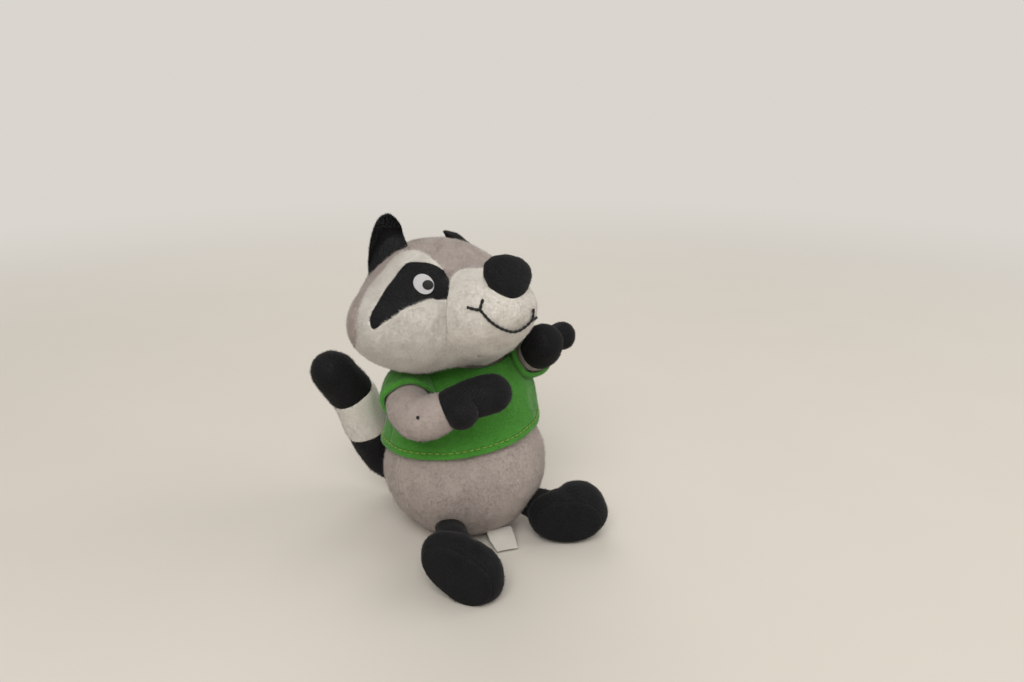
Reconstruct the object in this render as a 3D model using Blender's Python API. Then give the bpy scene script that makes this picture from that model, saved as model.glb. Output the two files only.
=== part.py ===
"""A small seated plush raccoon in a short green shirt, with a ringed tail and black paws.

Metres, +Z up. The toy faces -Y and its own left is +X. The origin is the middle of the flat of its seat.
Each stuffed form is the smooth union of a few ellipsoids round one middle, so that its surface has one
point in every direction. Fabric panels are patches of that surface, bounded by seams that are given as
directions: degrees round from the front, then degrees up. The right side is made first and then mirrored.
"""

import bmesh
import bpy
import numpy as np

# Fabric, thread and the clearances between pieces
PILE = 0.0014
CLOTH = 0.0011
GAP = 0.0003
SEAM = 0.0004
THREAD = 0.0007
FILLING_EASE = 0.0023

# Body: hips and chest
BODY_MIDDLE = (0.0, 0.0, 0.045)
HIP_MIDDLE = (0.0, 0.0, 0.031)
HIP_RADII = (0.0378, 0.0365, 0.0350)
CHEST_MIDDLE = (0.0, 0.001, 0.061)
CHEST_RADII = (0.0318, 0.0262, 0.0330)
SIDE_SEAM = 80.0
SEAT_SEAM = -60.0
NECK_SEAM = 66.0

# Head: where it sits and how it is turned, in degrees
HEAD_MIDDLE = (-0.0095, -0.004, 0.110)
HEAD_TURN = 5.5
HEAD_LIFT = 20.0
HEAD_TILT = 13.0
FACE_MIDDLE = (0.0, -0.009, -0.003)
SKULL_MIDDLE = (-0.0025, 0.0020, 0.0)
SKULL_RADII = (0.0332, 0.0285, 0.0277)
JOWL_MIDDLE = (-0.0035, -0.0045, -0.0078)
JOWL_RADII = (0.0430, 0.0268, 0.0230)
JOWL_SAG = -9.0
MUZZLE_MIDDLE = (0.0, -0.026, -0.0075)
MUZZLE_RADII = (0.0206, 0.0305, 0.018)

# Seams of one side of the head, as directions from the middle of the face: each runs between two corners
NOSE_BRIDGE = [(0, 20), (9, 22)]
BRIDGE_SEAM = [(9, 22), (14, 24), (22, 29), (30, 26), (35, 13)]
EYE_TOP_SEAM = [(35, 13), (39, 22), (44, 30)]
BROW_SEAM = [(44, 30), (50, 36), (58, 41), (70, 45), (85, 45), (95, 41)]
EAR_SEAM = [(95, 41), (98, 50), (102, 64), (130, 78), (180, 82)]
BACK_SEAM = [(180, 82), (180, 50), (180, 10), (180, -30), (180, -62)]
NAPE_SEAM = [(180, -62), (140, -68), (98, -60)]
CHEEK_SEAM = [(95, 41), (96, 25), (95, 10), (91, -2), (90, -12), (94, -20), (103, -26), (108, -40), (98, -60)]
THROAT_SEAM = [(98, -60), (70, -70), (30, -74), (0, -75)]
CHIN_SEAM = [(0, -75), (0, -49)]
EYE_SIDE_SEAM = [(35, 13), (35, 4), (36, -3)]
MUZZLE_SEAM = [(36, -3), (38, -17), (36, -29), (28, -39), (15, -46), (0, -49)]
PATCH_SEAM = [
    (36, -3), (43, -3), (50, -2), (58, -5), (65, -8), (70, -12), (76, -15), (81, -17), (82, -11),
    (80, -2), (81, 10), (82, 22), (79, 31), (68, 35), (55, 35), (44, 30),
]

# Nose, eyes and mouth: directions, and real sizes across, outwards and up
NOSE_DIRECTION = (-2.4, 6.7)
NOSE_RADII = (0.0096, 0.0058, 0.0096)
NOSE_TAPER = 0.36
EYE_DIRECTION = (56.4, 11.2)
EYE_RADII = (0.0033, 0.0053)
EYE_LEAN = 35.0
PUPIL_DIRECTION = (52.8, 9.9)
PUPIL_RADII = (0.0019, 0.0024)
EMBROIDERY = 0.0005
SMILE = [(-18, -9.3), (-13, -14.5), (-7, -17.9), (-0.5, -19.4), (3.5, -18.9), (6.5, -17.0), (9, -14.8), (12.0, -12.3)]
SMILE_TICKS = [[(-16.5, -4), (-17.3, -6.5), (-18.2, -9.3), (-21, -9.1), (-24, -8.3)],
               [(9.8, -7.2), (10.5, -9.7), (11.4, -12.5), (14.2, -12.1), (17.2, -11.3)]]

# Ears: two layers, each sewn on along its foot. The left one is pushed back against the head
EAR_FOOT_RIGHT = [(108, 12), (105, 24), (101, 37), (97, 47)]
EAR_FOOT_LEFT = [(127, 28), (124, 40), (120, 54), (115, 66)]
EAR_THICK = 0.0026
EAR_HEIGHT = 0.0195
EAR_TAPER = 0.20
EAR_FOLD_RIGHT = 0.0045
EAR_FOLD_LEFT = -0.0019
EAR_RISE_RIGHT = (-0.12, 0.10, 0.99)
EAR_RISE_LEFT = (-0.637, 0.432, 0.639)

# Shirt
HEM_HEIGHT = 0.0488
HEM_TILT = 6.3
HEM_HIGH_SIDE = 60.0
COLLAR = 62.5
SHIRT_EASE = 0.0008
HEM_FLARE = 0.0012
SHIRT_SIDE = 92.0
HEM_STITCH_RISE = 0.0028
HEM_THREAD = 0.0004
SLEEVE_START = 0.010
SLEEVE_END = 0.0225

# Arms: a centre line from the shoulder to the end of the paw, the radius at each of its points, and how far
# along it the paw is sewn on. A thumb and the stitched dot are placed by distance and by turn round the line.
ARM_RIGHT = [(-0.0195, 0.0015, 0.0777), (-0.0295, -0.0070, 0.0750), (-0.0345, -0.0190, 0.0704),
             (-0.0330, -0.0295, 0.0703), (-0.0250, -0.0358, 0.0746), (-0.0166, -0.0373, 0.0775),
             (-0.0076, -0.0380, 0.0785), (0.0022, -0.0374, 0.0775)]
ARM_RIGHT_RADII = [0.0080, 0.0090, 0.0099, 0.0099, 0.0086, 0.0086, 0.0088, 0.0080]
WRIST_RIGHT = 0.0485
THUMB_RIGHT = (0.0530, -8.0)
ARM_LEFT = [(0.0150, 0.0010, 0.0800), (0.0235, -0.0070, 0.0815), (0.0265, -0.0150, 0.0838),
            (0.0272, -0.0208, 0.0868), (0.0265, -0.0255, 0.0920), (0.0250, -0.0280, 0.0995)]
ARM_LEFT_RADII = [0.0078, 0.0084, 0.0088, 0.0092, 0.0092, 0.0084]
WRIST_LEFT = 0.0255
THUMB_LEFT = (0.0325, 160.0)
THUMB_RADIUS = 0.0060
THUMB_OUT_RIGHT = -0.0020
THUMB_OUT_LEFT = 0.0010
TACK_RADIUS = 0.0007
TACK = (0.0408, 22.0)

# Legs and feet: a foot is two ellipsoids with a flat sole on its own -X
LEG_RADII = [0.0065, 0.0095]
HIP_JOINT_RIGHT = (-0.0180, -0.0180, 0.0115)
HIP_JOINT_LEFT = (0.0180, -0.0140, 0.0140)
FOOT_RADII = (0.0115, 0.0178, 0.0120)
TOE_RADII = (0.0115, 0.0120, 0.0120)
FOOT_RIGHT = (-0.0300, -0.0537, 0.0134)
FOOT_RIGHT_TURN = (41.0, -28.0)
TOE_RIGHT = (0.0005, -0.0062, 0.0)
FOOT_LEFT = (0.0318, -0.0385, 0.0115)
FOOT_LEFT_TURN = (62.0, 0.0)
TOE_LEFT = (0.0050, -0.0060, 0.0015)
SOLE_AT = 0.0058
SOLE_THICK = 0.0012

# Tail: centre line from the seat to the tip, and the distances at which its colour changes
TAIL = [(-0.0060, 0.0290, 0.0135), (-0.0140, 0.0385, 0.0140), (-0.0235, 0.0430, 0.0210),
        (-0.0300, 0.0435, 0.0350), (-0.0380, 0.0435, 0.0565), (-0.0530, 0.0435, 0.0775)]
TAIL_RADII = [0.0085, 0.0095, 0.0100, 0.0108, 0.0112, 0.0100]
TAIL_RINGS = [0.0170, 0.0420, 0.0635]

# Care label, sewn into the seat seam between the legs
LABEL_PLACE = (0.0028, -0.0302, 0.0033)
LABEL_SIZE = (0.0118, 0.0124, 0.0006)
LABEL_TURN = (-12.0, -22.0)


def clear_scene():
    for obj in list(bpy.data.objects):
        bpy.data.objects.remove(obj, do_unlink=True)


def new_collection(name):
    collection = bpy.data.collections.new(name)
    bpy.context.scene.collection.children.link(collection)
    return collection


clear_scene()
TOY = new_collection("plush_raccoon")
CUTTERS = new_collection("cutters")


def fabric(name, colour, roughness=0.95):
    material = bpy.data.materials.new(name)
    material.use_nodes = True
    shader = material.node_tree.nodes["Principled BSDF"]
    shader.inputs["Base Color"].default_value = (*colour, 1.0)
    shader.inputs["Roughness"].default_value = roughness
    shader.inputs["Metallic"].default_value = 0.0
    return material


GREY_PLUSH = fabric("grey_plush", (0.40, 0.37, 0.35))
WHITE_PLUSH = fabric("white_plush", (0.74, 0.71, 0.67))
BLACK_PLUSH = fabric("black_plush", (0.018, 0.018, 0.02))
BLACK_SATIN = fabric("black_satin", (0.02, 0.02, 0.022), 0.6)
WHITE_THREAD = fabric("white_thread", (0.72, 0.74, 0.78), 0.7)
BLACK_THREAD = fabric("black_thread", (0.015, 0.015, 0.017), 0.7)
GREEN_KNIT = fabric("green_knit", (0.06, 0.27, 0.04), 0.9)
LIME_THREAD = fabric("lime_thread", (0.30, 0.52, 0.07), 0.7)
LABEL_TAPE = fabric("label_tape", (0.70, 0.66, 0.58), 0.8)
FIBRE = fabric("polyester_fibre", (0.85, 0.85, 0.83), 1.0)


def turned(turn=0.0, lift=0.0, tilt=0.0):
    """Turn left about Z, lift the front about X and tilt to the left about Y, in degrees, as one matrix."""
    a, b, c = np.radians((turn, lift, tilt))
    about_z = np.array([[np.cos(a), -np.sin(a), 0], [np.sin(a), np.cos(a), 0], [0, 0, 1]])
    about_x = np.array([[1, 0, 0], [0, np.cos(b), np.sin(b)], [0, -np.sin(b), np.cos(b)]])
    about_y = np.array([[np.cos(c), 0, np.sin(c)], [0, 1, 0], [-np.sin(c), 0, np.cos(c)]])
    return about_z @ about_x @ about_y


def toward(seam):
    """Unit vectors of directions given as (degrees to the left of the front, degrees up)."""
    seam = np.radians(np.atleast_2d(np.asarray(seam, float)))
    side, up = seam[:, 0], seam[:, 1]
    return np.stack([np.sin(side) * np.cos(up), -np.cos(side) * np.cos(up), np.sin(up)], -1)


def mirrored(seam, side):
    """The seam on one side: -1 is the toy's right and 1 its left."""
    return [(side * across, up) for across, up in seam]


def unit(vectors):
    return vectors / np.linalg.norm(vectors, axis=-1, keepdims=True)


class Form:
    """A stuffed form: ellipsoids, each (middle, radii, turn) in the form's own frame, joined smoothly.

    In each direction the radius is the p-norm of the distances at which the ray leaves the ellipsoids."""

    JOIN = 10.0

    def __init__(self, place, frame, star, ellipsoids):
        self.frame = frame
        self.star = np.array(star, float)
        self.place = np.array(place, float) + frame @ self.star
        self.ellipsoids = ellipsoids

    def radius(self, directions):
        reach = []
        for middle, radii, turn in self.ellipsoids:
            start = (self.star - middle) @ turn / radii
            ray = directions @ turn / radii
            a = (ray * ray).sum(-1)
            b = ray @ start
            c = start @ start - 1.0
            reach.append((-b + np.sqrt(b * b - a * c)) / a)
        return (np.array(reach) ** self.JOIN).sum(0) ** (1.0 / self.JOIN)

    def points(self, directions, grow=0.0):
        """The surface in these directions, moved outwards by grow and pressed flat by the floor."""
        radius = (self.radius(directions) + grow)[..., None]
        world = self.place + (directions * radius) @ self.frame.T
        world[..., 2] = np.maximum(world[..., 2], -np.minimum(grow, 0.0))
        return world


def smooth_path(points, count):
    """Points along a Catmull-Rom curve through the given ones, evenly spaced in its parameter."""
    points = np.asarray(points, float)
    spans = len(points) - 1
    t = np.arange(count) * spans / (count - 1)
    k = np.minimum(t.astype(int), spans - 1)
    s = (t - k)[:, None]
    ends = np.vstack([2 * points[0] - points[1], points, 2 * points[-1] - points[-2]])
    p0, p1, p2, p3 = (ends[k + i] for i in range(4))
    return 0.5 * (2 * p1 + (p2 - p0) * s + (2 * p0 - 5 * p1 + 4 * p2 - p3) * s**2
                  + (3 * p1 - p0 - 3 * p2 + p3) * s**3)


def moved_shape(name, shape, place, material):
    """Ends a bmesh primitive: place gives each vertex its point. With no material it is a cutter."""
    start = np.array([vertex.co for vertex in shape.verts])
    for vertex, point in zip(shape.verts, place(start)):
        vertex.co = point
    bmesh.ops.remove_doubles(shape, verts=shape.verts, dist=1e-6)
    bmesh.ops.recalc_face_normals(shape, faces=shape.faces)
    if shape.calc_volume(signed=True) < 0:
        bmesh.ops.reverse_faces(shape, faces=shape.faces)
    mesh = bpy.data.meshes.new(name)
    shape.to_mesh(mesh)
    shape.free()
    mesh.shade_smooth()
    obj = bpy.data.objects.new(name, mesh)
    if material:
        mesh.materials.append(material)
        TOY.objects.link(obj)
    else:
        obj.hide_render = True
        obj.display_type = "WIRE"
        CUTTERS.objects.link(obj)
    return obj


def ball(name, segments, rings, place, material=None):
    """A sphere primitive whose vertices are moved by place, a function of their unit directions."""
    shape = bmesh.new()
    bmesh.ops.create_uvsphere(shape, u_segments=segments, v_segments=rings, radius=1.0)
    return moved_shape(name, shape, lambda start: place(unit(start)), material)


def grid(name, across, along, place, material=None):
    """A closed surface made of a grid primitive: place(u, v), u and v from 0 to 1, gives each point."""
    shape = bmesh.new()
    bmesh.ops.create_grid(shape, x_segments=across, y_segments=along, size=0.5)
    return moved_shape(name, shape, lambda start: place(start[:, 0] + 0.5, start[:, 1] + 0.5), material)


def sheet(name, across, along, place, material):
    """A closed piece of fabric from a regular patch: place(u, v, depth) gives its points, depth being 0 on
    the outer face, 1 on the inner one and a half along the middle of its four edges."""
    top = along + 2

    def carried(u, v):
        column = np.rint(u * (across + 2))
        row = np.rint(v * 2 * top)
        step = np.minimum(row, 2 * top - row)
        on_edge = (column == 0) | (column == across + 2) | (step == 0) | (step == top)
        depth = np.where(on_edge, 0.5, np.where(row > top, 1.0, 0.0))
        return place(np.clip((column - 1) / across, 0, 1), np.clip((step - 1) / along, 0, 1), depth)

    return grid(name, across + 2, 2 * top, carried, material)


def level_sheet(name, form, turns, heights, counts, material, thick, out):
    """A sheet on a form between two turns and two heights, all in degrees seen from the form's middle. The
    lower height may be a function of the turn."""
    spare = np.degrees(0.5 * SEAM / form.ellipsoids[0][1].min())
    low, high = heights

    def place(u, v, depth):
        turn = turns[0] + spare + (turns[1] - turns[0] - 2 * spare) * u
        start = spare + (low(turn) if callable(low) else low)
        directions = toward(np.stack([turn, start + (high - spare - start) * v], -1))
        return form.points(directions, out(directions) - depth * thick)

    return sheet(name, *counts, place, material)


def box(name, size, place, frame, material=None):
    """A cube primitive of this size, turned by frame, with its middle at place."""
    shape = bmesh.new()
    bmesh.ops.create_cube(shape, size=1.0)
    return moved_shape(name, shape, lambda start: np.array(place) + (start * size) @ frame.T, material)


def cut(obj, cutter, operation="DIFFERENCE", solver="EXACT"):
    """A Boolean. The exact solver loses a few of the thinnest shells, which take the manifold one."""
    boolean = obj.modifiers.new(operation.lower(), "BOOLEAN")
    boolean.operation = operation
    boolean.solver = solver
    boolean.object = cutter
    return obj


def seam_line(seam, count, side):
    """The unit directions of a seam on one side of the toy: -1 is its right and 1 its left."""
    return toward(smooth_path(seam, count + 1)) * np.array([side, 1.0, 1.0])


def joined(*lines):
    """Seam lines that run on from each other, as one closed loop that turns left seen from outside."""
    loop = np.vstack([line[:-1] for line in lines])
    turns_left = np.cross(loop, np.roll(loop, -1, axis=0)).sum(0) @ loop.mean(0) > 0
    return loop if turns_left else loop[::-1]


def moved_in(loop, form, distance):
    """A loop of directions that turns left, moved inwards over the form by this distance."""
    along = np.roll(loop, -1, axis=0) - np.roll(loop, 1, axis=0)
    inwards = unit(np.cross(loop, along))
    return unit(loop + inwards * (distance / form.radius(loop))[:, None])


def fabric_panel(name, form, loop, centre, rings, material, thick=PILE, grow=0.0):
    """A panel that fills a closed loop of directions. Rings run from its centre out to the loop on the
    outer face and back on the inner face. grow is a distance, or a function of the directions."""
    centre = toward([centre])[0]
    loop = moved_in(loop, form, 0.5 * SEAM)
    count = len(loop)
    loop = np.vstack([loop, loop[:1]])

    def place(u, v):
        k = np.rint(u * count).astype(int)
        row = np.rint(v * (2 * rings + 1))
        reach = np.minimum(row, 2 * rings + 1 - row) / rings
        directions = unit(centre + (loop[k] - centre) * reach[:, None])
        out = grow(directions) if callable(grow) else grow
        return form.points(directions, out - np.where(row > rings, thick, 0.0))

    return grid(name, count, 2 * rings + 1, place, material)


def opening(name, form, loop, centre, depth):
    """A cutter: what a loop of directions encloses, from below the form's surface to above it."""
    centre = toward([centre])[0]
    loop = moved_in(loop, form, -0.5 * SEAM)
    count = len(loop)
    loop = np.vstack([loop, loop[:1]])

    def place(u, v):
        k = np.rint(u * count).astype(int)
        row = np.rint(v * 3).astype(int)
        direction = np.where(((row == 0) | (row == 3))[:, None], centre, loop[k])
        return form.points(direction, np.where(row > 1, depth, -depth))

    return grid(name, count, 3, place)


def oval(form, direction, radii, lean, count):
    """The directions of an ellipse of real size on a form, its long axis leaning outwards at the top."""
    middle = toward([direction])[0]
    across = unit(np.cross([0.0, 0.0, 1.0], middle))
    up = np.cross(middle, across)
    outward = np.sign(direction[0]) * np.radians(lean)
    turn = 2 * np.pi * np.arange(count + 1) / count
    x, y = radii[0] * np.cos(turn), radii[1] * np.sin(turn)
    level, height = x * np.cos(outward) + y * np.sin(outward), y * np.cos(outward) - x * np.sin(outward)
    reach = form.radius(middle[None])[0]
    return joined(unit(reach * middle + level[:, None] * across + height[:, None] * up))


class Limb:
    """A stuffed tube along a smooth centre line, with a radius given at each of its points."""

    def __init__(self, centres, radii):
        self.line = smooth_path(centres, 80)
        self.size = smooth_path(np.array(radii)[:, None], 80)[:, 0]
        steps = np.linalg.norm(np.diff(self.line, axis=0), axis=1)
        self.at = np.concatenate([[0.0], np.cumsum(steps)])
        self.length = self.at[-1]

    def centre(self, at):
        return np.stack([np.interp(at, self.at, self.line[:, k]) for k in range(3)], -1)

    def surface(self, at, turn, shrink=1.0, grow=0.0):
        """The point at a distance along the line, turned about it from the level side upwards."""
        step = 0.02 * self.length
        low, high = np.maximum(at - step, 0), np.minimum(at + step, self.length)
        tangent = unit(self.centre(high) - self.centre(low))
        side = unit(np.cross(tangent, [0.0, 0.0, 1.0]))
        up = np.cross(side, tangent)
        radius = (np.interp(at, self.at, self.size) + grow) * shrink
        return self.centre(at) + radius[:, None] * (np.cos(turn)[:, None] * side + np.sin(turn)[:, None] * up)

    def point(self, place, grow=0.0):
        """One point on or above the surface, place being a distance along and a turn in degrees."""
        return self.surface(np.array(place[:1]), np.radians(place[1:]), grow=grow)[0]

    def solid(self, name, sides, stations, material=None, start=0.0, end=None,
              round_start=False, round_end=True, grow=0.0):
        """The closed piece of the tube between two distances. A round end is a half-ellipse of the
        tube's own radius there, and a flat end is a disc."""
        end = self.length if end is None else end
        cap_start = np.interp(start, self.at, self.size)
        cap_end = np.interp(end, self.at, self.size)

        def place(u, v):
            row = np.rint(v * stations)
            s = np.clip((row - 1) / (stations - 2), 0.0, 1.0)
            if round_start and round_end:
                s = 0.5 - 0.5 * np.cos(s * np.pi)
            elif round_end:
                s = np.sin(0.5 * np.pi * s)
            at = start + (end - start) * s
            shrink = np.where((row == 0) | (row == stations), 0.0, 1.0)
            if round_start:
                beyond = np.clip((start + cap_start - at) / cap_start, 0.0, 1.0)
                shrink = shrink * np.sqrt(1.0 - beyond**2)
            if round_end:
                beyond = np.clip((at - end + cap_end) / cap_end, 0.0, 1.0)
                shrink = shrink * np.sqrt(1.0 - beyond**2)
            return self.surface(at, 2 * np.pi * u, shrink, grow)

        return grid(name, sides, stations, place, material)


# Head: the filling, then the panels sewn round it
HEAD = Form(HEAD_MIDDLE, turned(HEAD_TURN, HEAD_LIFT, HEAD_TILT), FACE_MIDDLE, [
    (np.array(SKULL_MIDDLE), np.array(SKULL_RADII), np.eye(3)),
    (np.array(JOWL_MIDDLE), np.array(JOWL_RADII), turned(tilt=JOWL_SAG)),
    (np.array(MUZZLE_MIDDLE), np.array(MUZZLE_RADII), np.eye(3)),
])
ball("head_filling", 22, 13, lambda d: HEAD.points(d, -PILE - FILLING_EASE), FIBRE)
head_space = ball("head_space", 60, 36, lambda d: HEAD.points(d, 1.5 * GAP))

STEPS = {"front": 1, "bridge": 5, "eye_top": 2, "brow": 7, "ear": 5, "back": 6, "nape": 3, "cheek": 9,
         "throat": 3, "chin": 2, "eye_side": 2, "muzzle": 7, "patch": 18}
SEAMS = {"front": NOSE_BRIDGE, "bridge": BRIDGE_SEAM, "eye_top": EYE_TOP_SEAM, "brow": BROW_SEAM,
         "ear": EAR_SEAM, "back": BACK_SEAM, "nape": NAPE_SEAM, "cheek": CHEEK_SEAM, "throat": THROAT_SEAM,
         "chin": CHIN_SEAM, "eye_side": EYE_SIDE_SEAM, "muzzle": MUZZLE_SEAM, "patch": PATCH_SEAM}


def sewn(side, names):
    """Seam lines of one side of the head in order. A name with a minus runs backwards."""
    lines = []
    for name in names.split():
        line = seam_line(SEAMS[name.strip("-")], STEPS[name.strip("-")], side)
        lines.append(line[::-1] if name.startswith("-") else line)
    return lines


fabric_panel("crown", HEAD, joined(
    *sewn(-1, "front bridge eye_top brow ear"), *sewn(1, "-ear -brow -eye_top -bridge -front")),
    (0, 66), 5, GREY_PLUSH)
fabric_panel("muzzle", HEAD, joined(
    *sewn(-1, "front bridge eye_side muzzle"), *sewn(1, "-muzzle -eye_side -bridge -front")),
    (0, -12), 5, WHITE_PLUSH)

for side, hand in ((-1, "right"), (1, "left")):
    back = joined(*sewn(side, "ear back nape -cheek"))
    fabric_panel(f"head_back_{hand}", HEAD, back, (side * 140, 0), 4, GREY_PLUSH)
    patch = joined(*sewn(side, "eye_side patch -eye_top"))
    fabric_panel(f"eye_patch_{hand}", HEAD, patch, (side * 62, 10), 5, BLACK_PLUSH)
    around = joined(*sewn(side, "eye_top brow cheek throat chin -muzzle -eye_side"))
    face = fabric_panel(f"face_{hand}", HEAD, around, (side * 68, -28), 4, WHITE_PLUSH)
    cut(face, opening(f"eye_patch_opening_{hand}", HEAD, patch, (side * 62, 10), 4 * PILE))
    eye = oval(HEAD, (side * EYE_DIRECTION[0], EYE_DIRECTION[1]), EYE_RADII, EYE_LEAN, 14)
    fabric_panel(f"eye_white_{hand}", HEAD, eye, (side * EYE_DIRECTION[0], EYE_DIRECTION[1]), 2,
                 WHITE_THREAD, thick=EMBROIDERY, grow=GAP + EMBROIDERY)
    pupil = oval(HEAD, (side * PUPIL_DIRECTION[0], PUPIL_DIRECTION[1]), PUPIL_RADII, EYE_LEAN, 12)
    fabric_panel(f"pupil_{hand}", HEAD, pupil, (side * PUPIL_DIRECTION[0], PUPIL_DIRECTION[1]), 1,
                 BLACK_THREAD, thick=EMBROIDERY, grow=2 * (GAP + EMBROIDERY))


def nose_place(directions):
    """An egg with its broad side up, set on the top of the muzzle."""
    out = toward([NOSE_DIRECTION])[0]
    across = unit(np.cross([0.0, 0.0, 1.0], out))
    up = np.cross(out, across)
    width, depth, height = NOSE_RADII
    broad = 1 + NOSE_TAPER * directions[:, 2]
    local = (HEAD.radius(out[None])[0] * out
             + (width * broad * directions[:, 0])[:, None] * across
             - (depth * directions[:, 1])[:, None] * out
             + (height * directions[:, 2])[:, None] * up)
    return HEAD.place + local @ HEAD.frame.T


cut(ball("nose", 18, 10, nose_place, BLACK_SATIN), head_space)


def thread_on_head(name, line, sides, stations, material=None):
    """A sewn line lying on the panels of the head."""
    line = HEAD.points(toward(smooth_path(line, 24)), GAP + THREAD)
    return Limb(line, [THREAD] * len(line)).solid(name, sides, stations, material, round_start=True)


mouth = thread_on_head("mouth_stitch", SMILE, 6, 20, BLACK_THREAD)
for tick, hand in zip(SMILE_TICKS, ("right", "left")):
    cut(mouth, thread_on_head(f"mouth_corner_{hand}", tick, 6, 10), "UNION")


def ear(name, side, foot, fold, rise):
    """A flap of two layers on the ear seam, narrower towards its round top, with a fold across it."""
    foot = HEAD.points(toward(smooth_path(mirrored(foot, side), 60)), -2 * PILE)
    middle = foot.mean(0)
    rise = unit(np.array(rise))
    outward = unit(np.cross(foot[-1] - foot[0], rise)) * side

    def place(u, v, depth):
        stem = foot[np.rint(u * 59).astype(int)]
        stem = stem + (middle - stem) * EAR_TAPER * v[:, None]
        height = EAR_HEIGHT * np.sin(np.pi * (0.08 + 0.84 * u)) ** 0.4
        out = fold * np.sin(np.pi * v) + (0.5 - depth) * EAR_THICK
        return stem + (height * v)[:, None] * rise + out[:, None] * outward

    return cut(sheet(name, 10, 6, place, BLACK_PLUSH), head_space, solver="MANIFOLD")


ear("ear_right", -1, EAR_FOOT_RIGHT, EAR_FOLD_RIGHT, EAR_RISE_RIGHT)
ear("ear_left", 1, EAR_FOOT_LEFT, EAR_FOLD_LEFT, EAR_RISE_LEFT)

# Body: the filling and its panels, under the head
BODY = Form((0.0, 0.0, 0.0), np.eye(3), BODY_MIDDLE, [
    (np.array(HIP_MIDDLE), np.array(HIP_RADII), np.eye(3)),
    (np.array(CHEST_MIDDLE), np.array(CHEST_RADII), np.eye(3)),
])
body_space = ball("body_space", 48, 30, lambda d: BODY.points(d, 1.5 * GAP))
cut(ball("body_filling", 22, 13, lambda d: BODY.points(d, -PILE - FILLING_EASE), FIBRE), head_space)


for name, turns, across in (("belly", (-SIDE_SEAM, SIDE_SEAM), 11), ("body_back_left", (SIDE_SEAM, 180.0), 7),
                            ("body_back_right", (180.0, 360.0 - SIDE_SEAM), 7)):
    cut(level_sheet(name, BODY, turns, (SEAT_SEAM, NECK_SEAM), (across, 9), GREY_PLUSH, PILE,
                    lambda directions: 0.0), head_space)
seat = joined(toward([(turn, SEAT_SEAM) for turn in np.linspace(0.0, 360.0, 23)]))
fabric_panel("seat", BODY, seat, (0.0, -90.0), 3, GREY_PLUSH)

# Shirt: front, back, the thread of its hem and two sleeves
HEM_UP = np.degrees(np.arctan2(HEM_HEIGHT - BODY_MIDDLE[2], HIP_RADII[0]))
STITCH_UP = np.degrees(np.arctan2(HEM_STITCH_RISE, HIP_RADII[0]))


def hem_up(turn):
    """How many degrees up the hem runs: the shirt has ridden up on its high side."""
    return HEM_UP + HEM_TILT * np.cos(np.radians(turn - HEM_HIGH_SIDE))


def shirt_out(directions):
    """How far the shirt's outer face stands off the body: it opens a little towards its hem."""
    low = hem_up(np.degrees(np.arctan2(directions[..., 0], -directions[..., 1])))
    rise = (np.degrees(np.arcsin(directions[..., 2])) - low) / (COLLAR - low)
    return GAP + CLOTH + SHIRT_EASE + HEM_FLARE * (1 - np.clip(rise, 0.0, 1.0)) ** 3


shirt_space = ball("shirt_space", 48, 30, lambda d: BODY.points(d, shirt_out(d) + 1.5 * GAP))
shirt = [cut(level_sheet(name, BODY, turns, (hem_up, COLLAR), (14, 6), GREEN_KNIT, CLOTH, shirt_out),
             head_space, solver="MANIFOLD")
         for name, turns in (("shirt_front", (-SHIRT_SIDE, SHIRT_SIDE)),
                             ("shirt_back", (SHIRT_SIDE, 360.0 - SHIRT_SIDE)))]

stitches = toward([(turn, hem_up(turn) + STITCH_UP) for turn in np.linspace(0.0, 360.0, 41)])[:-1]
stitches = BODY.points(stitches, shirt_out(stitches) + GAP + HEM_THREAD)
curve = bpy.data.curves.new("hem_stitch", "CURVE")
curve.dimensions = "3D"
curve.bevel_depth = HEM_THREAD
curve.bevel_resolution = 0
spline = curve.splines.new("POLY")
spline.points.add(len(stitches) - 1)
for point, place in zip(spline.points, stitches):
    point.co = (*place, 1.0)
spline.use_cyclic_u = True
curve.materials.append(LIME_THREAD)
TOY.objects.link(bpy.data.objects.new("hem_stitch", curve))


def arm(hand, centres, radii, wrist, thumb, thumb_out):
    """An arm through its armhole, with the sleeve round it and the paw sewn to its end."""
    line = Limb(centres, radii)
    armhole = line.solid(f"armhole_{hand}", 20, 12, end=SLEEVE_END, round_end=False, grow=GAP)
    for piece in shirt:
        cut(piece, armhole, solver="MANIFOLD")
    worn = ball(f"worn_shirt_{hand}", 48, 30, lambda d: BODY.points(d, shirt_out(d) + 1.5 * GAP))
    cut(worn, armhole)
    upper = line.solid(f"arm_{hand}", 20, 18, GREY_PLUSH, end=wrist - GAP, round_end=False)
    for space in (body_space, worn, head_space):
        cut(upper, space)
    sleeve = line.solid(f"sleeve_{hand}", 20, 10, GREEN_KNIT, start=SLEEVE_START, end=SLEEVE_END,
                        round_end=False, grow=GAP + CLOTH)
    inside = line.solid(f"sleeve_inside_{hand}", 20, 14, end=SLEEVE_END + CLOTH, round_end=False, grow=GAP)
    for space in (inside, shirt_space, head_space):
        cut(sleeve, space, solver="MANIFOLD")
    paw = line.solid(f"paw_{hand}", 14, 9, BLACK_SATIN, start=wrist)
    middle = line.point(thumb, thumb_out)
    cut(paw, ball(f"thumb_{hand}", 12, 7, lambda d: middle + THUMB_RADIUS * d), "UNION")
    for space in (shirt_space, head_space):
        cut(paw, space)
    return line


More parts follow.
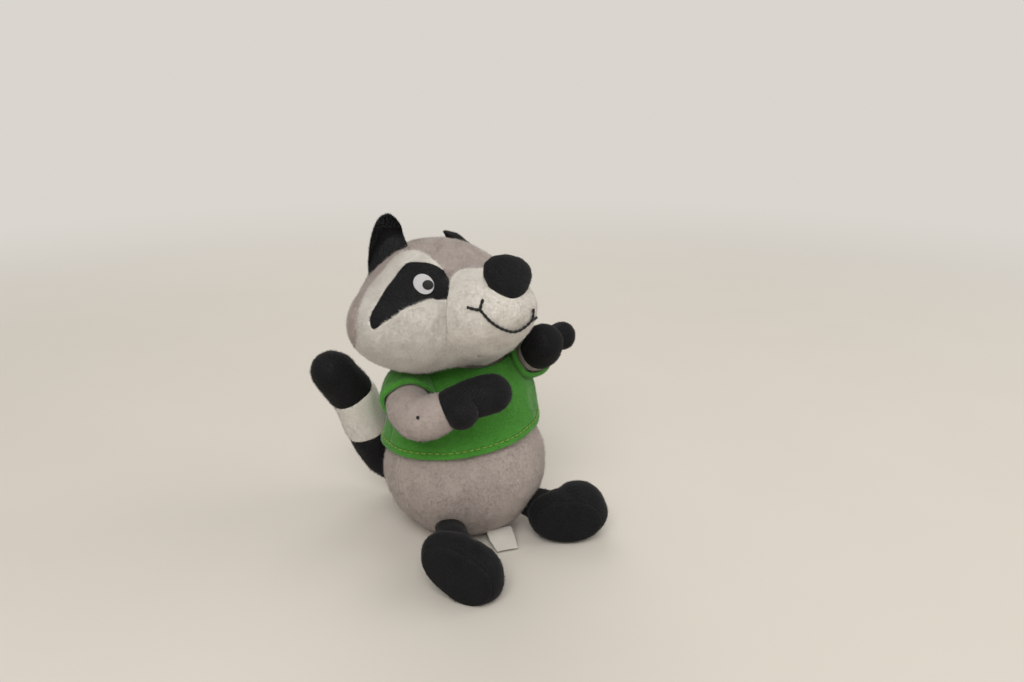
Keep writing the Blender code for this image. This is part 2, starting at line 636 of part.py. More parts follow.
arm_right = arm("right", ARM_RIGHT, ARM_RIGHT_RADII, WRIST_RIGHT, THUMB_RIGHT, THUMB_OUT_RIGHT)
arm("left", ARM_LEFT, ARM_LEFT_RADII, WRIST_LEFT, THUMB_LEFT, THUMB_OUT_LEFT)
tack_middle = arm_right.point(TACK, GAP + TACK_RADIUS)
ball("arm_tack", 8, 5, lambda d: tack_middle + TACK_RADIUS * d, BLACK_THREAD)


def leg(hand, hip_joint, place, turn, toe):
    """A foot with a flat sole panel, and the short leg that joins it to the body."""
    frame = turned(*turn)
    form = Form(place, frame, (0.0, 0.0, 0.0), [
        (np.zeros(3), np.array(FOOT_RADII), np.eye(3)), (np.array(toe), np.array(TOE_RADII), np.eye(3))])
    deep = 4 * max(FOOT_RADII)

    def slab(name, high, low):
        """The part of space between two planes across the foot's own X."""
        middle = np.array(place) + frame @ np.array([0.5 * (high + low), 0.0, 0.0])
        return box(name, (high - low, deep, deep), middle, frame)

    foot = ball(f"foot_{hand}", 20, 12, lambda d: form.points(d), BLACK_PLUSH)
    cut(foot, slab(f"sole_space_{hand}", -SOLE_AT, -SOLE_AT - deep))
    cut(foot, body_space)
    sole = ball(f"sole_{hand}", 20, 12, lambda d: form.points(d), BLACK_PLUSH)
    cut(sole, slab(f"sole_slab_{hand}", -SOLE_AT - GAP, -SOLE_AT - GAP - SOLE_THICK), "INTERSECT")
    foot_space = ball(f"foot_space_{hand}", 32, 20, lambda d: form.points(d, 1.5 * GAP))
    upper = Limb([hip_joint, place], LEG_RADII).solid(f"leg_{hand}", 14, 6, BLACK_PLUSH, round_end=False)
    for space in (body_space, foot_space):
        cut(upper, space)


leg("right", HIP_JOINT_RIGHT, FOOT_RIGHT, FOOT_RIGHT_TURN, TOE_RIGHT)
leg("left", HIP_JOINT_LEFT, FOOT_LEFT, FOOT_LEFT_TURN, TOE_LEFT)

# Tail: rings of white and black plush, each sewn to the next
tail = Limb(TAIL, TAIL_RADII)
ends = [0.0, *TAIL_RINGS, tail.length]
for number, (start, end) in enumerate(zip(ends, ends[1:])):
    last = end == tail.length
    ring = tail.solid(
        f"tail_ring_{number + 1}", 14, 9 if last else 6, BLACK_PLUSH if number % 2 else WHITE_PLUSH,
        start=start, end=end if last else end - GAP, round_end=last)
    if number == 0:
        cut(ring, body_space)

cut(box("care_label", LABEL_SIZE, LABEL_PLACE, turned(*LABEL_TURN), LABEL_TAPE), body_space)
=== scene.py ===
"""The looks of a small seated plush raccoon in a short green shirt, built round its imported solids.

Metres, +Z up. The toy faces -Y and its own left is +X. Every piece is a surface worked out with numpy, in the
order in which such a toy is sewn, filled and dressed.
"""

import bpy
import numpy as np
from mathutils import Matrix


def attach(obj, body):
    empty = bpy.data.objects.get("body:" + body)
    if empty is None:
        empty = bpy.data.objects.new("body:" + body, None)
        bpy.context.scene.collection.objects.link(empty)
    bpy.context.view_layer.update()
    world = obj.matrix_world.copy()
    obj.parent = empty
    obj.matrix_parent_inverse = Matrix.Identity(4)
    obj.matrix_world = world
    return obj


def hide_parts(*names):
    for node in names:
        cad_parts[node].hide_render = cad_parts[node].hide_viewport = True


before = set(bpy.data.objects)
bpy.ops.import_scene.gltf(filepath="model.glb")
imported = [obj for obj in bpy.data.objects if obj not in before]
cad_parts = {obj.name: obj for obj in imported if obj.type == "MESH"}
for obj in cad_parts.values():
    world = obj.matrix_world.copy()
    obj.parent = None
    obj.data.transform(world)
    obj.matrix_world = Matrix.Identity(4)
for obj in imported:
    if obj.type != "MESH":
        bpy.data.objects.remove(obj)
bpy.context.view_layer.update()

# Head skin
# Short-pile polyester plush in grey, white and black, cut in panels and sewn edge to edge over the filling.
# Each seam pulls the fabric in a little, and the nap lies away from the nose.
HEAD_MIDDLE = (-0.0095, -0.004, 0.110)
HEAD_POSE = (5.5, 20.0, 13.0)
FACE_MIDDLE = (0.0, -0.009, -0.003)
SKULL_MIDDLE, SKULL_RADII = (-0.0025, 0.0020, 0.0), (0.0332, 0.0285, 0.0277)
JOWL_MIDDLE, JOWL_RADII, JOWL_SAG = (-0.0035, -0.0045, -0.0078), (0.0430, 0.0268, 0.0230), -9.0
MUZZLE_MIDDLE, MUZZLE_RADII = (0.0, -0.026, -0.0075), (0.0206, 0.0305, 0.018)
NOSE_BRIDGE = [(0, 20), (9, 22)]
BRIDGE_SEAM = [(9, 22), (14, 24), (22, 29), (30, 26), (35, 13)]
EYE_TOP_SEAM = [(35, 13), (39, 22), (44, 30)]
BROW_SEAM = [(44, 30), (50, 36), (58, 41), (70, 45), (85, 45), (95, 41)]
EAR_SEAM = [(95, 41), (98, 50), (102, 64), (130, 78), (180, 82)]
BACK_SEAM = [(180, 82), (180, 50), (180, 10), (180, -30), (180, -62)]
NAPE_SEAM = [(180, -62), (140, -68), (98, -60)]
CHEEK_SEAM = [(95, 41), (96, 25), (95, 10), (91, -2), (90, -12), (94, -20), (103, -26), (108, -40), (98, -60)]
THROAT_SEAM = [(98, -60), (70, -70), (30, -74), (0, -75)]
EYE_SIDE_SEAM = [(35, 13), (35, 4), (36, -3)]
MUZZLE_SEAM = [(36, -3), (38, -17), (36, -29), (28, -39), (15, -46), (0, -49)]
PATCH_SEAM = [
    (36, -3), (43, -3), (50, -2), (58, -5), (65, -8), (70, -12), (76, -15), (81, -17), (82, -11),
    (80, -2), (81, 10), (82, 22), (79, 31), (68, 35), (55, 35), (44, 30),
]
STEPS_PER_SPAN = 14
PLUSH_THICK = 0.0012
FORM_SIZE = 0.035
SEAM_DIP, SEAM_WIDTH = 0.0005, 0.0010
NAP_ROOM = 0.0006


def unit(vectors):
    """Vectors divided by their own length."""
    return vectors / np.linalg.norm(vectors, axis=-1, keepdims=True)


def turned(turn=0.0, lift=0.0, tilt=0.0):
    """The product of a turn about Z, a lift of the front about X and a tilt about Y, in degrees."""
    a, b, c = np.radians((turn, lift, tilt))
    about_z = np.array([[np.cos(a), -np.sin(a), 0], [np.sin(a), np.cos(a), 0], [0, 0, 1]])
    about_x = np.array([[1, 0, 0], [0, np.cos(b), np.sin(b)], [0, -np.sin(b), np.cos(b)]])
    about_y = np.array([[np.cos(c), 0, np.sin(c)], [0, 1, 0], [-np.sin(c), 0, np.cos(c)]])
    return about_z @ about_x @ about_y


def toward(seam):
    """Unit vectors from degrees to the left of the front and degrees up: the usual spherical formula."""
    seam = np.radians(np.asarray(seam, float))
    side, up = seam[..., 0], seam[..., 1]
    return np.stack([np.sin(side) * np.cos(up), -np.cos(side) * np.cos(up), np.sin(up)], -1)


def smooth_path(points, count):
    """Points on a Catmull-Rom curve: between two given points a cubic, whose slope at each of them is half
    the step between that point's neighbours."""
    points = np.asarray(points, float)
    spans = len(points) - 1
    t = np.linspace(0.0, spans, count)
    k = np.minimum(t.astype(int), spans - 1)
    s = (t - k)[:, None]
    ends = np.vstack([2 * points[0] - points[1], points, 2 * points[-1] - points[-2]])
    p0, p1, p2, p3 = (ends[k + i] for i in range(4))
    return 0.5 * (2 * p1 + (p2 - p0) * s + (2 * p0 - 5 * p1 + 4 * p2 - p3) * s**2
                  + (3 * p1 - p0 - 3 * p2 + p3) * s**3)


def ripple(points, length, seed):
    """Smooth noise of about -1 to 1: the mean of eight sine waves of about this wavelength, which run in
    seeded directions."""
    draw = np.random.default_rng(seed)
    waves = unit(draw.normal(size=(8, 3))) * draw.uniform(0.7, 1.5, (8, 1)) * 2 * np.pi / length
    return np.sin(points @ waves.T + draw.uniform(0, 2 * np.pi, 8)).mean(-1) * 2.0


def uneven(directions, depth=0.00022, length=0.011, seed=5, size=FORM_SIZE):
    """Soft lumps of a stuffed form: ripples of this depth and wavelength on a ball of this size."""
    return depth * ripple(directions * size, length, seed)


class Form:
    """A stuffed form: ellipsoids (middle, radii, turn) in its own frame. In each direction from its star
    point the radius is the p-norm, p being 10, of the distances at which the ray leaves the ellipsoids."""

    def __init__(self, place, pose, star, ellipsoids):
        self.frame = pose
        self.star = np.array(star, float)
        self.place = np.array(place, float) + pose @ self.star
        self.ellipsoids = ellipsoids

    def radius(self, directions):
        reach = []
        for middle, radii, turn in self.ellipsoids:
            start = (self.star - middle) @ turn / radii
            ray = directions @ turn / radii
            a = (ray * ray).sum(-1)
            b = ray @ start
            reach.append((-b + np.sqrt(b * b - a * (start @ start - 1.0))) / a)
        return (np.array(reach) ** 10).sum(0) ** 0.1

    def points(self, directions, out=0.0):
        """The surface in these directions, moved outwards by out and pressed flat by the floor."""
        world = self.place + (directions * (self.radius(directions) + out)[..., None]) @ self.frame.T
        world[..., 2] = np.maximum(world[..., 2], 0.0002)
        return world

    def direction(self, world):
        """The direction of a point of the toy, seen from the star point."""
        return unit((world - self.place) @ self.frame)


HEAD = Form(HEAD_MIDDLE, turned(*HEAD_POSE), FACE_MIDDLE, [
    (np.array(SKULL_MIDDLE), np.array(SKULL_RADII), np.eye(3)),
    (np.array(JOWL_MIDDLE), np.array(JOWL_RADII), turned(tilt=JOWL_SAG)),
    (np.array(MUZZLE_MIDDLE), np.array(MUZZLE_RADII), np.eye(3)),
])
outer_sides = {}


def piece(name, points, faces, material, node_names=(), outer=None):
    """A mesh object from an array of points and arrays of faces, turned outwards: if the sum of the faces'
    signed volumes is negative, every face is reversed. outer is how many points lie on its outer side."""
    triangles = np.vstack([f[:, [0, k, k + 1]] for f in faces for k in range(1, f.shape[1] - 1)])
    if np.linalg.det(points[triangles] - points.mean(0)).sum() < 0:
        faces, triangles = [f[:, ::-1] for f in faces], triangles[:, ::-1]
    sizes = np.concatenate([np.full(len(f), f.shape[1]) for f in faces])
    corners = np.concatenate([f.ravel() for f in faces])
    mesh = bpy.data.meshes.new(name)
    mesh.vertices.add(len(points))
    mesh.vertices.foreach_set("co", points.astype(np.float32).ravel())
    mesh.loops.add(len(corners))
    mesh.loops.foreach_set("vertex_index", corners.astype(np.int32))
    mesh.polygons.add(len(sizes))
    mesh.polygons.foreach_set("loop_start", (np.cumsum(sizes) - sizes).astype(np.int32))
    mesh.update(calc_edges=True)
    mesh.shade_smooth()
    for finish in material if isinstance(material, list) else [material]:
        mesh.materials.append(finish)
    obj = bpy.data.objects.new(name, mesh)
    bpy.context.scene.collection.objects.link(obj)
    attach(obj, "root")
    if node_names:
        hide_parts(*node_names)
    keep = triangles if outer is None else triangles[(triangles < outer).all(1)]
    outer_sides[name] = points, keep
    return obj


def shell(name, rows, material, nodes=(), outer_rows=None, outer_columns=None):
    """A closed surface from rows of points that run round it. The first and the last row are poles, each
    one point. The outer side is the first outer_rows rows, or the first outer_columns of each row."""
    count, columns = rows.shape[:2]
    number = np.arange((count - 2) * columns).reshape(count - 2, columns) + 1
    if outer_columns is not None:
        outside = np.arange((count - 2) * outer_columns).reshape(count - 2, -1) + 1
        inside = np.arange((count - 2) * (columns - outer_columns)).reshape(count - 2, -1) + 2 + outside.size
        number = np.concatenate([outside, inside], 1)
    last = (count - 2) * columns + 1 if outer_columns is None else outside.size + 1
    points = np.zeros(((count - 2) * columns + 2, 3))
    points[0], points[last] = rows[0].mean(0), rows[-1].mean(0)
    points[number.ravel()] = rows[1:-1].reshape(-1, 3)
    turn = np.roll(number, -1, axis=1)
    quads = np.stack([number[:-1], turn[:-1], turn[1:], number[1:]], -1).reshape(-1, 4)
    poles = np.vstack([
        np.stack([np.zeros(columns, int), turn[0], number[0]], -1),
        np.stack([np.full(columns, last), number[-1], turn[-1]], -1)])
    if outer_columns is not None:
        outer = last + 1
    else:
        outer = None if outer_rows is None else 1 + (outer_rows - 1) * columns
    return piece(name, points, [quads, poles], material, nodes, outer)


def closed_sheet(name, outer, inner, material, nodes):
    """A sheet from the grids of points of its outer and its inner face, joined along their four edges."""
    number = np.arange(outer[..., 0].size).reshape(outer.shape[:2])
    quads = np.stack([number[:-1, :-1], number[1:, :-1], number[1:, 1:], number[:-1, 1:]], -1).reshape(-1, 4)
    rim = np.concatenate([number[:-1, 0], number[-1, :-1], number[:0:-1, -1], number[0, :0:-1]])
    after = np.roll(rim, -1)
    size = number.size
    walls = np.stack([after, rim, rim + size, after + size], -1)
    points = np.vstack([outer.reshape(-1, 3), inner.reshape(-1, 3)])
    return piece(name, points, [quads, quads[:, ::-1] + size, walls], material, nodes, outer=size)


def seam_line(seam, side, steps=STEPS_PER_SPAN):
    """The unit directions of a seam on one side of the toy: -1 is its right and 1 its left."""
    return toward(smooth_path(seam, steps * (len(seam) - 1) + 1)) * np.array([side, 1.0, 1.0])


def sewn_loop(*lines):
    """Seam lines that run on from each other, as one closed loop."""
    return np.vstack([line[:-1] for line in lines])


def fan_panel(name, form, loop, centre, material, nodes, rings=26, thick=PLUSH_THICK, dip=SEAM_DIP, out=0.0):
    """A panel inside a closed loop of directions: each ring is the loop drawn in towards the centre. The
    surface falls off towards the seam as an exponential of the distance from it."""
    centre = toward(centre)
    reach = 1 - (1 - np.linspace(0, 1, rings + 1)) ** 1.4
    reach = np.concatenate([reach, [0.94, 0.6, 0.3, 0.0]])
    inside = np.arange(len(reach)) > rings
    directions = unit(centre + (loop - centre) * reach[:, None, None])
    from_seam = (1 - reach[:, None]) * np.linalg.norm(loop - centre, axis=-1) * form.radius(loop)
    rise = out - dip * np.exp(-from_seam / SEAM_WIDTH) - np.where(inside, thick, 0.0)[:, None]
    rise = rise + uneven(directions)
    return shell(name, form.points(directions, rise), material, nodes, outer_rows=rings)


class Value:
    """A shader socket on which Python's operators work: each one adds a Math node."""

    def __init__(self, tree, socket):
        self.tree, self.socket = tree, socket

    def maths(self, operation, first, second):
        node = self.tree.nodes.new("ShaderNodeMath")
        node.operation = operation
        for slot, value in zip(node.inputs, (first, second)):
            plug(self.tree, slot, value)
        return Value(self.tree, node.outputs[0])

    def __add__(self, other):
        return self.maths("ADD", self, other)

    def __sub__(self, other):
        return self.maths("SUBTRACT", self, other)

    def __rsub__(self, other):
        return self.maths("SUBTRACT", other, self)

    def __mul__(self, other):
        return self.maths("MULTIPLY", self, other)

    __radd__, __rmul__ = __add__, __mul__


def plug(tree, slot, value):
    """Links a Value to a node's socket, or sets the socket's own number or colour."""
    if isinstance(value, Value):
        tree.links.new(value.socket, slot)
    else:
        slot.default_value = value


class Finish:
    """A material: one Principled shader with fixed values, and nodes for what varies over the surface."""

    def __init__(self, name, **fixed):
        self.material = bpy.data.materials.new(name)
        self.material.use_nodes = True
        self.tree = self.material.node_tree
        self.shader = self.tree.nodes["Principled BSDF"]
        for socket, value in fixed.items():
            self.shader.inputs[socket.replace("_", " ")].default_value = value

    def node(self, kind, settings=None, sockets=None, output=0):
        """One node of a kind, its settings first and then its sockets' values or links."""
        node = self.tree.nodes.new("ShaderNode" + kind)
        for key, value in (settings or {}).items():
            setattr(node, key, value)
        for key, value in (sockets or {}).items():
            plug(self.tree, node.inputs[key], value)
        return Value(self.tree, node.outputs[output])

    def place(self, scale=(1.0, 1.0, 1.0), turn=(0.0, 0.0, 0.0)):
        """Object coordinates, stretched and turned."""
        start = self.node("TexCoord", output="Object")
        return self.node("Mapping", None, {"Vector": start, "Scale": scale, "Rotation": turn})

    def noise(self, size, detail=3.0, where=None):
        """Noise whose grains are about this size in metres."""
        return self.node("TexNoise", None, {
            "Vector": where or self.place(), "Scale": 0.6 / size, "Detail": detail}, output="Fac")

    def blend(self, share, deep, light):
        """A colour between two, in linear values."""
        return self.node("Mix", {"data_type": "RGBA"}, {0: share, 6: (*deep, 1), 7: (*light, 1)}, output=2)

    def wear(self, colour=None, roughness=None, height=None, depth=0.0002, strength=0.6):
        """Feeds the shader's colour and roughness, and its normal through a Bump node."""
        if colour:
            plug(self.tree, self.shader.inputs["Base Color"], colour)
        if roughness:
            plug(self.tree, self.shader.inputs["Roughness"], roughness)
        if height:
            bump = self.node("Bump", None, {"Height": height, "Distance": depth, "Strength": strength},
                             output="Normal")
            plug(self.tree, self.shader.inputs["Normal"], bump)
        return self.material


def plush_skin(name, deep, light, sheen=0.25, grain=0.0007):
    """The knitted ground of plush with its nap: two tones mixed by brushed patches and by single tufts."""
    finish = Finish(name, Sheen_Weight=sheen, Sheen_Roughness=0.45, Specular_IOR_Level=0.15)
    patches = finish.noise(0.009, 2.0)
    tufts = finish.noise(grain, 4.0)
    share = patches * 0.55 + tufts * 0.75 - 0.15
    return finish.wear(finish.blend(share, deep, light), 1.0 - tufts * 0.15, tufts, 0.0004, 0.4)


def pile_tones(name, tones, sheen=0.25, roughness=0.9, shine=0.1):
    """Three plain finishes for the fibres of one plush: shaded, middle and lit."""
    return [Finish(f"{name}_{k}", Base_Color=(*tone, 1), Roughness=roughness, Sheen_Weight=sheen,
                   Sheen_Roughness=0.45, Specular_IOR_Level=shine).material for k, tone in enumerate(tones)]


def pile(name, sources, count, length, width, lean, brush, tones, seed, keep=None):
    """The nap as real fibres: thin closed spikes on a random share of each source's outer triangles, chosen
    by area. Each leans from the surface normal towards the brushed direction, and shades like the skin."""
    draw = np.random.default_rng(seed)
    starts = np.cumsum([0] + [len(outer_sides[s][0]) for s in sources])
    points = np.vstack([outer_sides[s][0] for s in sources])
    triangles = np.vstack([outer_sides[s][1] + start for s, start in zip(sources, starts)])
    corners = points[triangles]
    cross = np.cross(corners[:, 1] - corners[:, 0], corners[:, 2] - corners[:, 0])
    normals = np.zeros_like(points)
    for k in range(3):
        np.add.at(normals, triangles[:, k], cross)
    normals = normals / np.maximum(np.linalg.norm(normals, axis=1, keepdims=True), 1e-15)
    area = np.cumsum(np.linalg.norm(cross, axis=1))
    chosen = np.searchsorted(area, draw.uniform(0, area[-1], count))
    a, b = np.sqrt(draw.uniform(size=count)), draw.uniform(size=count)
    weights = np.stack([1 - a, a * (1 - b), a * b], -1)[..., None]
    root = (points[triangles[chosen]] * weights).sum(1)
    normal = unit((normals[triangles[chosen]] * weights).sum(1) + 1e-12)
    kept = root[:, 2] > 0.0008
    if keep is not None:
        kept &= keep(root)
    root, normal = root[kept], normal[kept]
    count = len(root)
    combed = brush(root, normal) + 0.35 * np.stack([ripple(root, 0.010, seed + k) for k in range(3)], -1)
    combed = combed - (combed * normal).sum(1, keepdims=True) * normal
    along = unit(combed + 0.5 * draw.normal(size=(count, 3)) * np.linalg.norm(combed, axis=1, keepdims=True))
    slope = np.radians(lean + draw.normal(0, 9, count))[:, None]
    fibre = unit(normal * np.cos(slope) + along * np.sin(slope))
    across = unit(np.cross(fibre, normal) + 1e-9)
    above = np.cross(across, fibre)
    reach = (length * draw.uniform(0.55, 1.1, count) * (1 + 0.25 * ripple(root, 0.007, seed + 9)))[:, None]
    half = 0.5 * width
    base = root - normal * 0.1e-3
    ends = np.stack([base + across * half, base - across * half, base + above * half * 1.2,
                     root + fibre * reach], 1)
    ends[..., 2] = np.maximum(ends[..., 2], 0.0001)
    first = 4 * np.arange(count)[:, None, None]
    faces = (first + np.array([[0, 2, 1], [0, 1, 3], [1, 2, 3], [2, 0, 3]])).reshape(-1, 3)
    obj = piece(name, ends.reshape(-1, 3), [faces], tones)
    shade = ripple(root * np.array([1, 1, 0.4]), 0.009, seed + 20) * 0.7 + draw.normal(0, 0.5, count)
    tone = np.digitize(shade, (-0.45, 0.45))
    obj.data.polygons.foreach_set("material_index", np.repeat(tone, 4).astype(np.int32))
    rounding = np.stack([across, -across, above, fibre], 1).reshape(-1, 3)
    shading = np.repeat(normal, 4, axis=0) + 0.35 * rounding
    obj.data.normals_split_custom_set_from_vertices(unit(shading))
    return obj


GREY_TONES = [(0.31, 0.262, 0.243), (0.40, 0.342, 0.318), (0.49, 0.425, 0.397)]
WHITE_TONES = [(0.64, 0.60, 0.545), (0.75, 0.715, 0.66), (0.85, 0.82, 0.775)]
BLACK_TONES = [(0.005, 0.005, 0.006), (0.009, 0.009, 0.010), (0.017, 0.017, 0.019)]
grey_plush = plush_skin("grey_plush", GREY_TONES[0], GREY_TONES[2])
white_plush = plush_skin("white_plush", WHITE_TONES[0], WHITE_TONES[2])
black_plush = plush_skin("black_plush", BLACK_TONES[0], BLACK_TONES[2], 0.05)
grey_pile = pile_tones("grey_pile", GREY_TONES)
white_pile = pile_tones("white_pile", WHITE_TONES)
black_pile = pile_tones("black_pile", BLACK_TONES, 0.06, 0.55, 0.35)

SEAMS = {"front": NOSE_BRIDGE, "bridge": BRIDGE_SEAM, "eye_top": EYE_TOP_SEAM, "brow": BROW_SEAM,
         "ear": EAR_SEAM, "back": BACK_SEAM, "nape": NAPE_SEAM, "cheek": CHEEK_SEAM,
         "throat": THROAT_SEAM, "eye_side": EYE_SIDE_SEAM, "muzzle": MUZZLE_SEAM, "patch": PATCH_SEAM}


def sewn(side, names):
    """Seam lines of one side of the head in order. A name with a minus runs backwards."""
    lines = [seam_line(SEAMS[name.strip("-")], side) for name in names.split()]
    return [line[::-1] if name.startswith("-") else line for line, name in zip(lines, names.split())]


def head_panel(name, loop, centre, material):
    """A sewn panel of the head, set in a little so that its nap ends at the head's surface."""
    obj = fan_panel(name, HEAD, loop, centre, material, [name], out=-NAP_ROOM)
    return obj


crown_loop = sewn_loop(*sewn(-1, "front bridge eye_top brow ear"),
                       *sewn(1, "-ear -brow -eye_top -bridge -front"))
head_panel("crown", crown_loop, (0, 66), grey_plush)
muzzle_loop = sewn_loop(*sewn(-1, "front bridge eye_side muzzle"),
                        *sewn(1, "-muzzle -eye_side -bridge -front"))
head_panel("muzzle", muzzle_loop, (0, -12), white_plush)
# A cheek panel is a strip between its inner and its outer seam, matched at these steps along each
FACE_ROWS, FACE_COLUMNS = 150, 30
INNER_MARKS = np.array([0, 1, 2, 3, 4, 5, 6, 7, 8, 9, 11, 13, 15, 17, 20]) * STEPS_PER_SPAN
OUTER_MARKS = np.array([0, 2, 3, 4.6, 6, 7, 8, 9, 10.5, 12.2, 13.3, 14, 14.6, 15, 16]) * STEPS_PER_SPAN
for side, hand in ((-1, "right"), (1, "left")):
    head_panel(f"head_back_{hand}", sewn_loop(*sewn(side, "ear back nape -cheek")), (side * 140, 0),
               grey_plush)
    head_panel(f"eye_patch_{hand}", sewn_loop(*sewn(side, "eye_side patch -eye_top")), (side * 62, 10),
               black_plush)
    inner = np.vstack([seam_line(PATCH_SEAM, side)[::-1], seam_line(MUZZLE_SEAM, side)[1:]])
    outer = np.vstack([seam_line(BROW_SEAM, side), seam_line(CHEEK_SEAM, side)[1:],
                       seam_line(THROAT_SEAM, side)[1:]])
    station = np.linspace(0, len(INNER_MARKS) - 1, FACE_ROWS)
    at_inner = np.interp(station, np.arange(len(INNER_MARKS)), INNER_MARKS)
    at_outer = np.interp(station, np.arange(len(OUTER_MARKS)), OUTER_MARKS)
    line = [np.stack([np.interp(at, np.arange(len(seam)), seam[:, k]) for k in range(3)], -1)
            for at, seam in ((at_inner, inner), (at_outer, outer))]
    share = 0.5 - 0.5 * np.cos(np.pi * np.linspace(0, 1, FACE_COLUMNS))
    share = np.concatenate([share, share[::-5]])
    depth = np.where(np.arange(len(share)) < FACE_COLUMNS, 0.0, PLUSH_THICK)
    directions = unit(line[0][:, None] + (line[1] - line[0])[:, None] * share[:, None])
    wide = np.linalg.norm(line[1] - line[0], axis=1)[:, None] * HEAD.radius(directions)
    from_seam = np.minimum(np.minimum(share, 1 - share) * wide, 0.02)
    rise = -NAP_ROOM - SEAM_DIP * np.exp(-from_seam / SEAM_WIDTH) - depth
    rise = rise + uneven(directions)
    obj = shell(f"face_{hand}", HEAD.points(directions, rise), white_plush, [f"face_{hand}"],
                outer_columns=FACE_COLUMNS)

# Eyes
# Each is embroidered on its black patch: an oval of white satin stitch, and on it a smaller black one.
EYE_DIRECTION, EYE_RADII, EYE_LEAN = (56.4, 11.2), (0.0033, 0.0053), 35.0
PUPIL_DIRECTION, PUPIL_RADII = (52.8, 9.9), (0.0019, 0.0024)
EMBROIDERY = 0.0005
EYE_RISE = 0.0007


def stitched(name, colour, deep, across, turn=(0.0, 0.0, 0.0), roughness=0.55):
    """Rows of embroidery thread: a saw-like wave over the surface, broken up by noise. The colour follows
    the wave of the bump, so the deep colour is painted shade in the grooves between the rows.
    """
    finish = Finish(name, Specular_IOR_Level=0.4, Sheen_Weight=0.1)
    where = finish.place(turn=turn)
    wave = finish.node("TexWave", {"wave_type": "BANDS", "bands_direction": "X", "wave_profile": "SIN"}, {
        "Vector": where, "Scale": 0.32 / across, "Distortion": 1.2, "Detail": 2.0, "Detail Scale": 2.0},
        output="Fac")
    grain = finish.noise(0.0004)
    # Painted shade: where the wave is low, between the thread's rows, the colour goes to deep.
    share = wave * 0.75 + grain * 0.35
    return finish.wear(finish.blend(share, deep, colour), roughness + grain * 0.2, wave, 0.00025, 0.8)


# The second colour of each thread is its painted shade in the grooves between the rows.
white_thread = stitched("white_thread", (0.80, 0.80, 0.82), (0.48, 0.48, 0.52), 0.0004, (0.0, 0.9, 0.2))
black_thread = stitched("black_thread", (0.009, 0.009, 0.010), (0.004, 0.004, 0.005), 0.0004, (0.0, 0.9, 0.2))


def upright_frame(direction):
    """Three unit vectors of the head's frame: outwards in a direction, level across it, and up."""
    middle = toward(direction)
    across = unit(np.cross([0.0, 0.0, 1.0], middle))
    return middle, across, np.cross(middle, across)


def oval(direction, radii, lean, count=64):
    """The directions of an ellipse of real size on the head, its long axis leaning outwards at the top."""
    middle, across, up = upright_frame(direction)
    outward = np.sign(direction[0]) * np.radians(lean)
    turn = 2 * np.pi * np.arange(count) / count
    x, y = radii[0] * np.cos(turn), radii[1] * np.sin(turn)
    level, height = x * np.cos(outward) + y * np.sin(outward), y * np.cos(outward) - x * np.sin(outward)
    reach = HEAD.radius(middle[None])[0]
    return unit(reach * middle + level[:, None] * across + height[:, None] * up)


def oval_share(world, direction, radii, lean):
    """How far a point of the head lies from an oval's middle, 1 being the oval's edge."""
    middle, across, up = upright_frame(direction)
    outward = np.sign(direction[0]) * np.radians(lean)
    reach = HEAD.radius(middle[None])[0]
    offset = reach * HEAD.direction(world)
    level, height = offset @ across, offset @ up
    x = level * np.cos(outward) - height * np.sin(outward)
    y = level * np.sin(outward) + height * np.cos(outward)
    same_side = HEAD.direction(world) @ middle > 0.5
    return np.where(same_side, np.hypot(x / radii[0], y / radii[1]), 9)


for side, hand in ((-1, "right"), (1, "left")):
    for label, place, radii, finish, height in (
            ("eye_white", EYE_DIRECTION, EYE_RADII, white_thread, EYE_RISE),
            ("pupil", PUPIL_DIRECTION, PUPIL_RADII, black_thread, EYE_RISE + 0.0005)):
        place = (side * place[0], place[1])
        obj = fan_panel(f"{label}_{hand}", HEAD, oval(place, radii, EYE_LEAN), place, finish,
                        [f"{label}_{hand}"], rings=10, thick=EYE_RISE + EMBROIDERY, dip=0.0004, out=height)

# Nose
# A stuffed pad of black satin plush, broad at the top, gathered at its edge and sewn on top of the muzzle.
NOSE_DIRECTION, NOSE_RADII, NOSE_TAPER = (-2.4, 6.7), (0.0096, 0.0058, 0.0096), 0.36


def ball_directions(columns, rows):
    """Rows of unit vectors round the vertical axis, the first and the last being the poles."""
    up = np.linspace(-90, 90, rows)
    side = np.linspace(0, 360, columns, endpoint=False)
    return toward(np.stack(np.broadcast_arrays(side[None, :], up[:, None]), -1))


def nose_points(directions):
    """An egg: an ellipsoid whose width grows with height, with gathers that fade out away from its back."""
    out, across, up = upright_frame(NOSE_DIRECTION)
    width, depth, height = NOSE_RADII
    broad = 1 + NOSE_TAPER * directions[..., 2]
    angle = np.arctan2(directions[..., 2], directions[..., 0])
    gather = 1 + 0.02 * np.sin(13 * angle) * np.clip(0.5 + directions[..., 1], 0, 1)
    local = (HEAD.radius(out[None])[0] * out
             + (gather * width * broad * directions[..., 0])[..., None] * across
             - (depth * directions[..., 1])[..., None] * out
             + (gather * height * directions[..., 2])[..., None] * up)
    return HEAD.place + local @ HEAD.frame.T


nose = shell("nose", nose_points(ball_directions(96, 60)), black_plush, ["nose"])

# Mouth
# One line of dark thread sewn through the muzzle: a smile with a short tick at each end.
SMILE = [(-18, -9.3), (-13, -14.5), (-7, -17.9), (-0.5, -19.4), (3.5, -18.9), (6.5, -17.0), (9, -14.8),
         (11.4, -12.5)]
TICK_RIGHT = [(-16.5, -4), (-17.3, -6.5), (-18.2, -9.3), (-21, -9.1), (-24, -8.3)]
TICK_LEFT = [(9.8, -7.2), (10.5, -9.7), (11.4, -12.5), (14.2, -12.1), (17.2, -11.3)]
THREAD = 0.00062
STITCH = 0.0021
THREAD_RISE = 0.0003


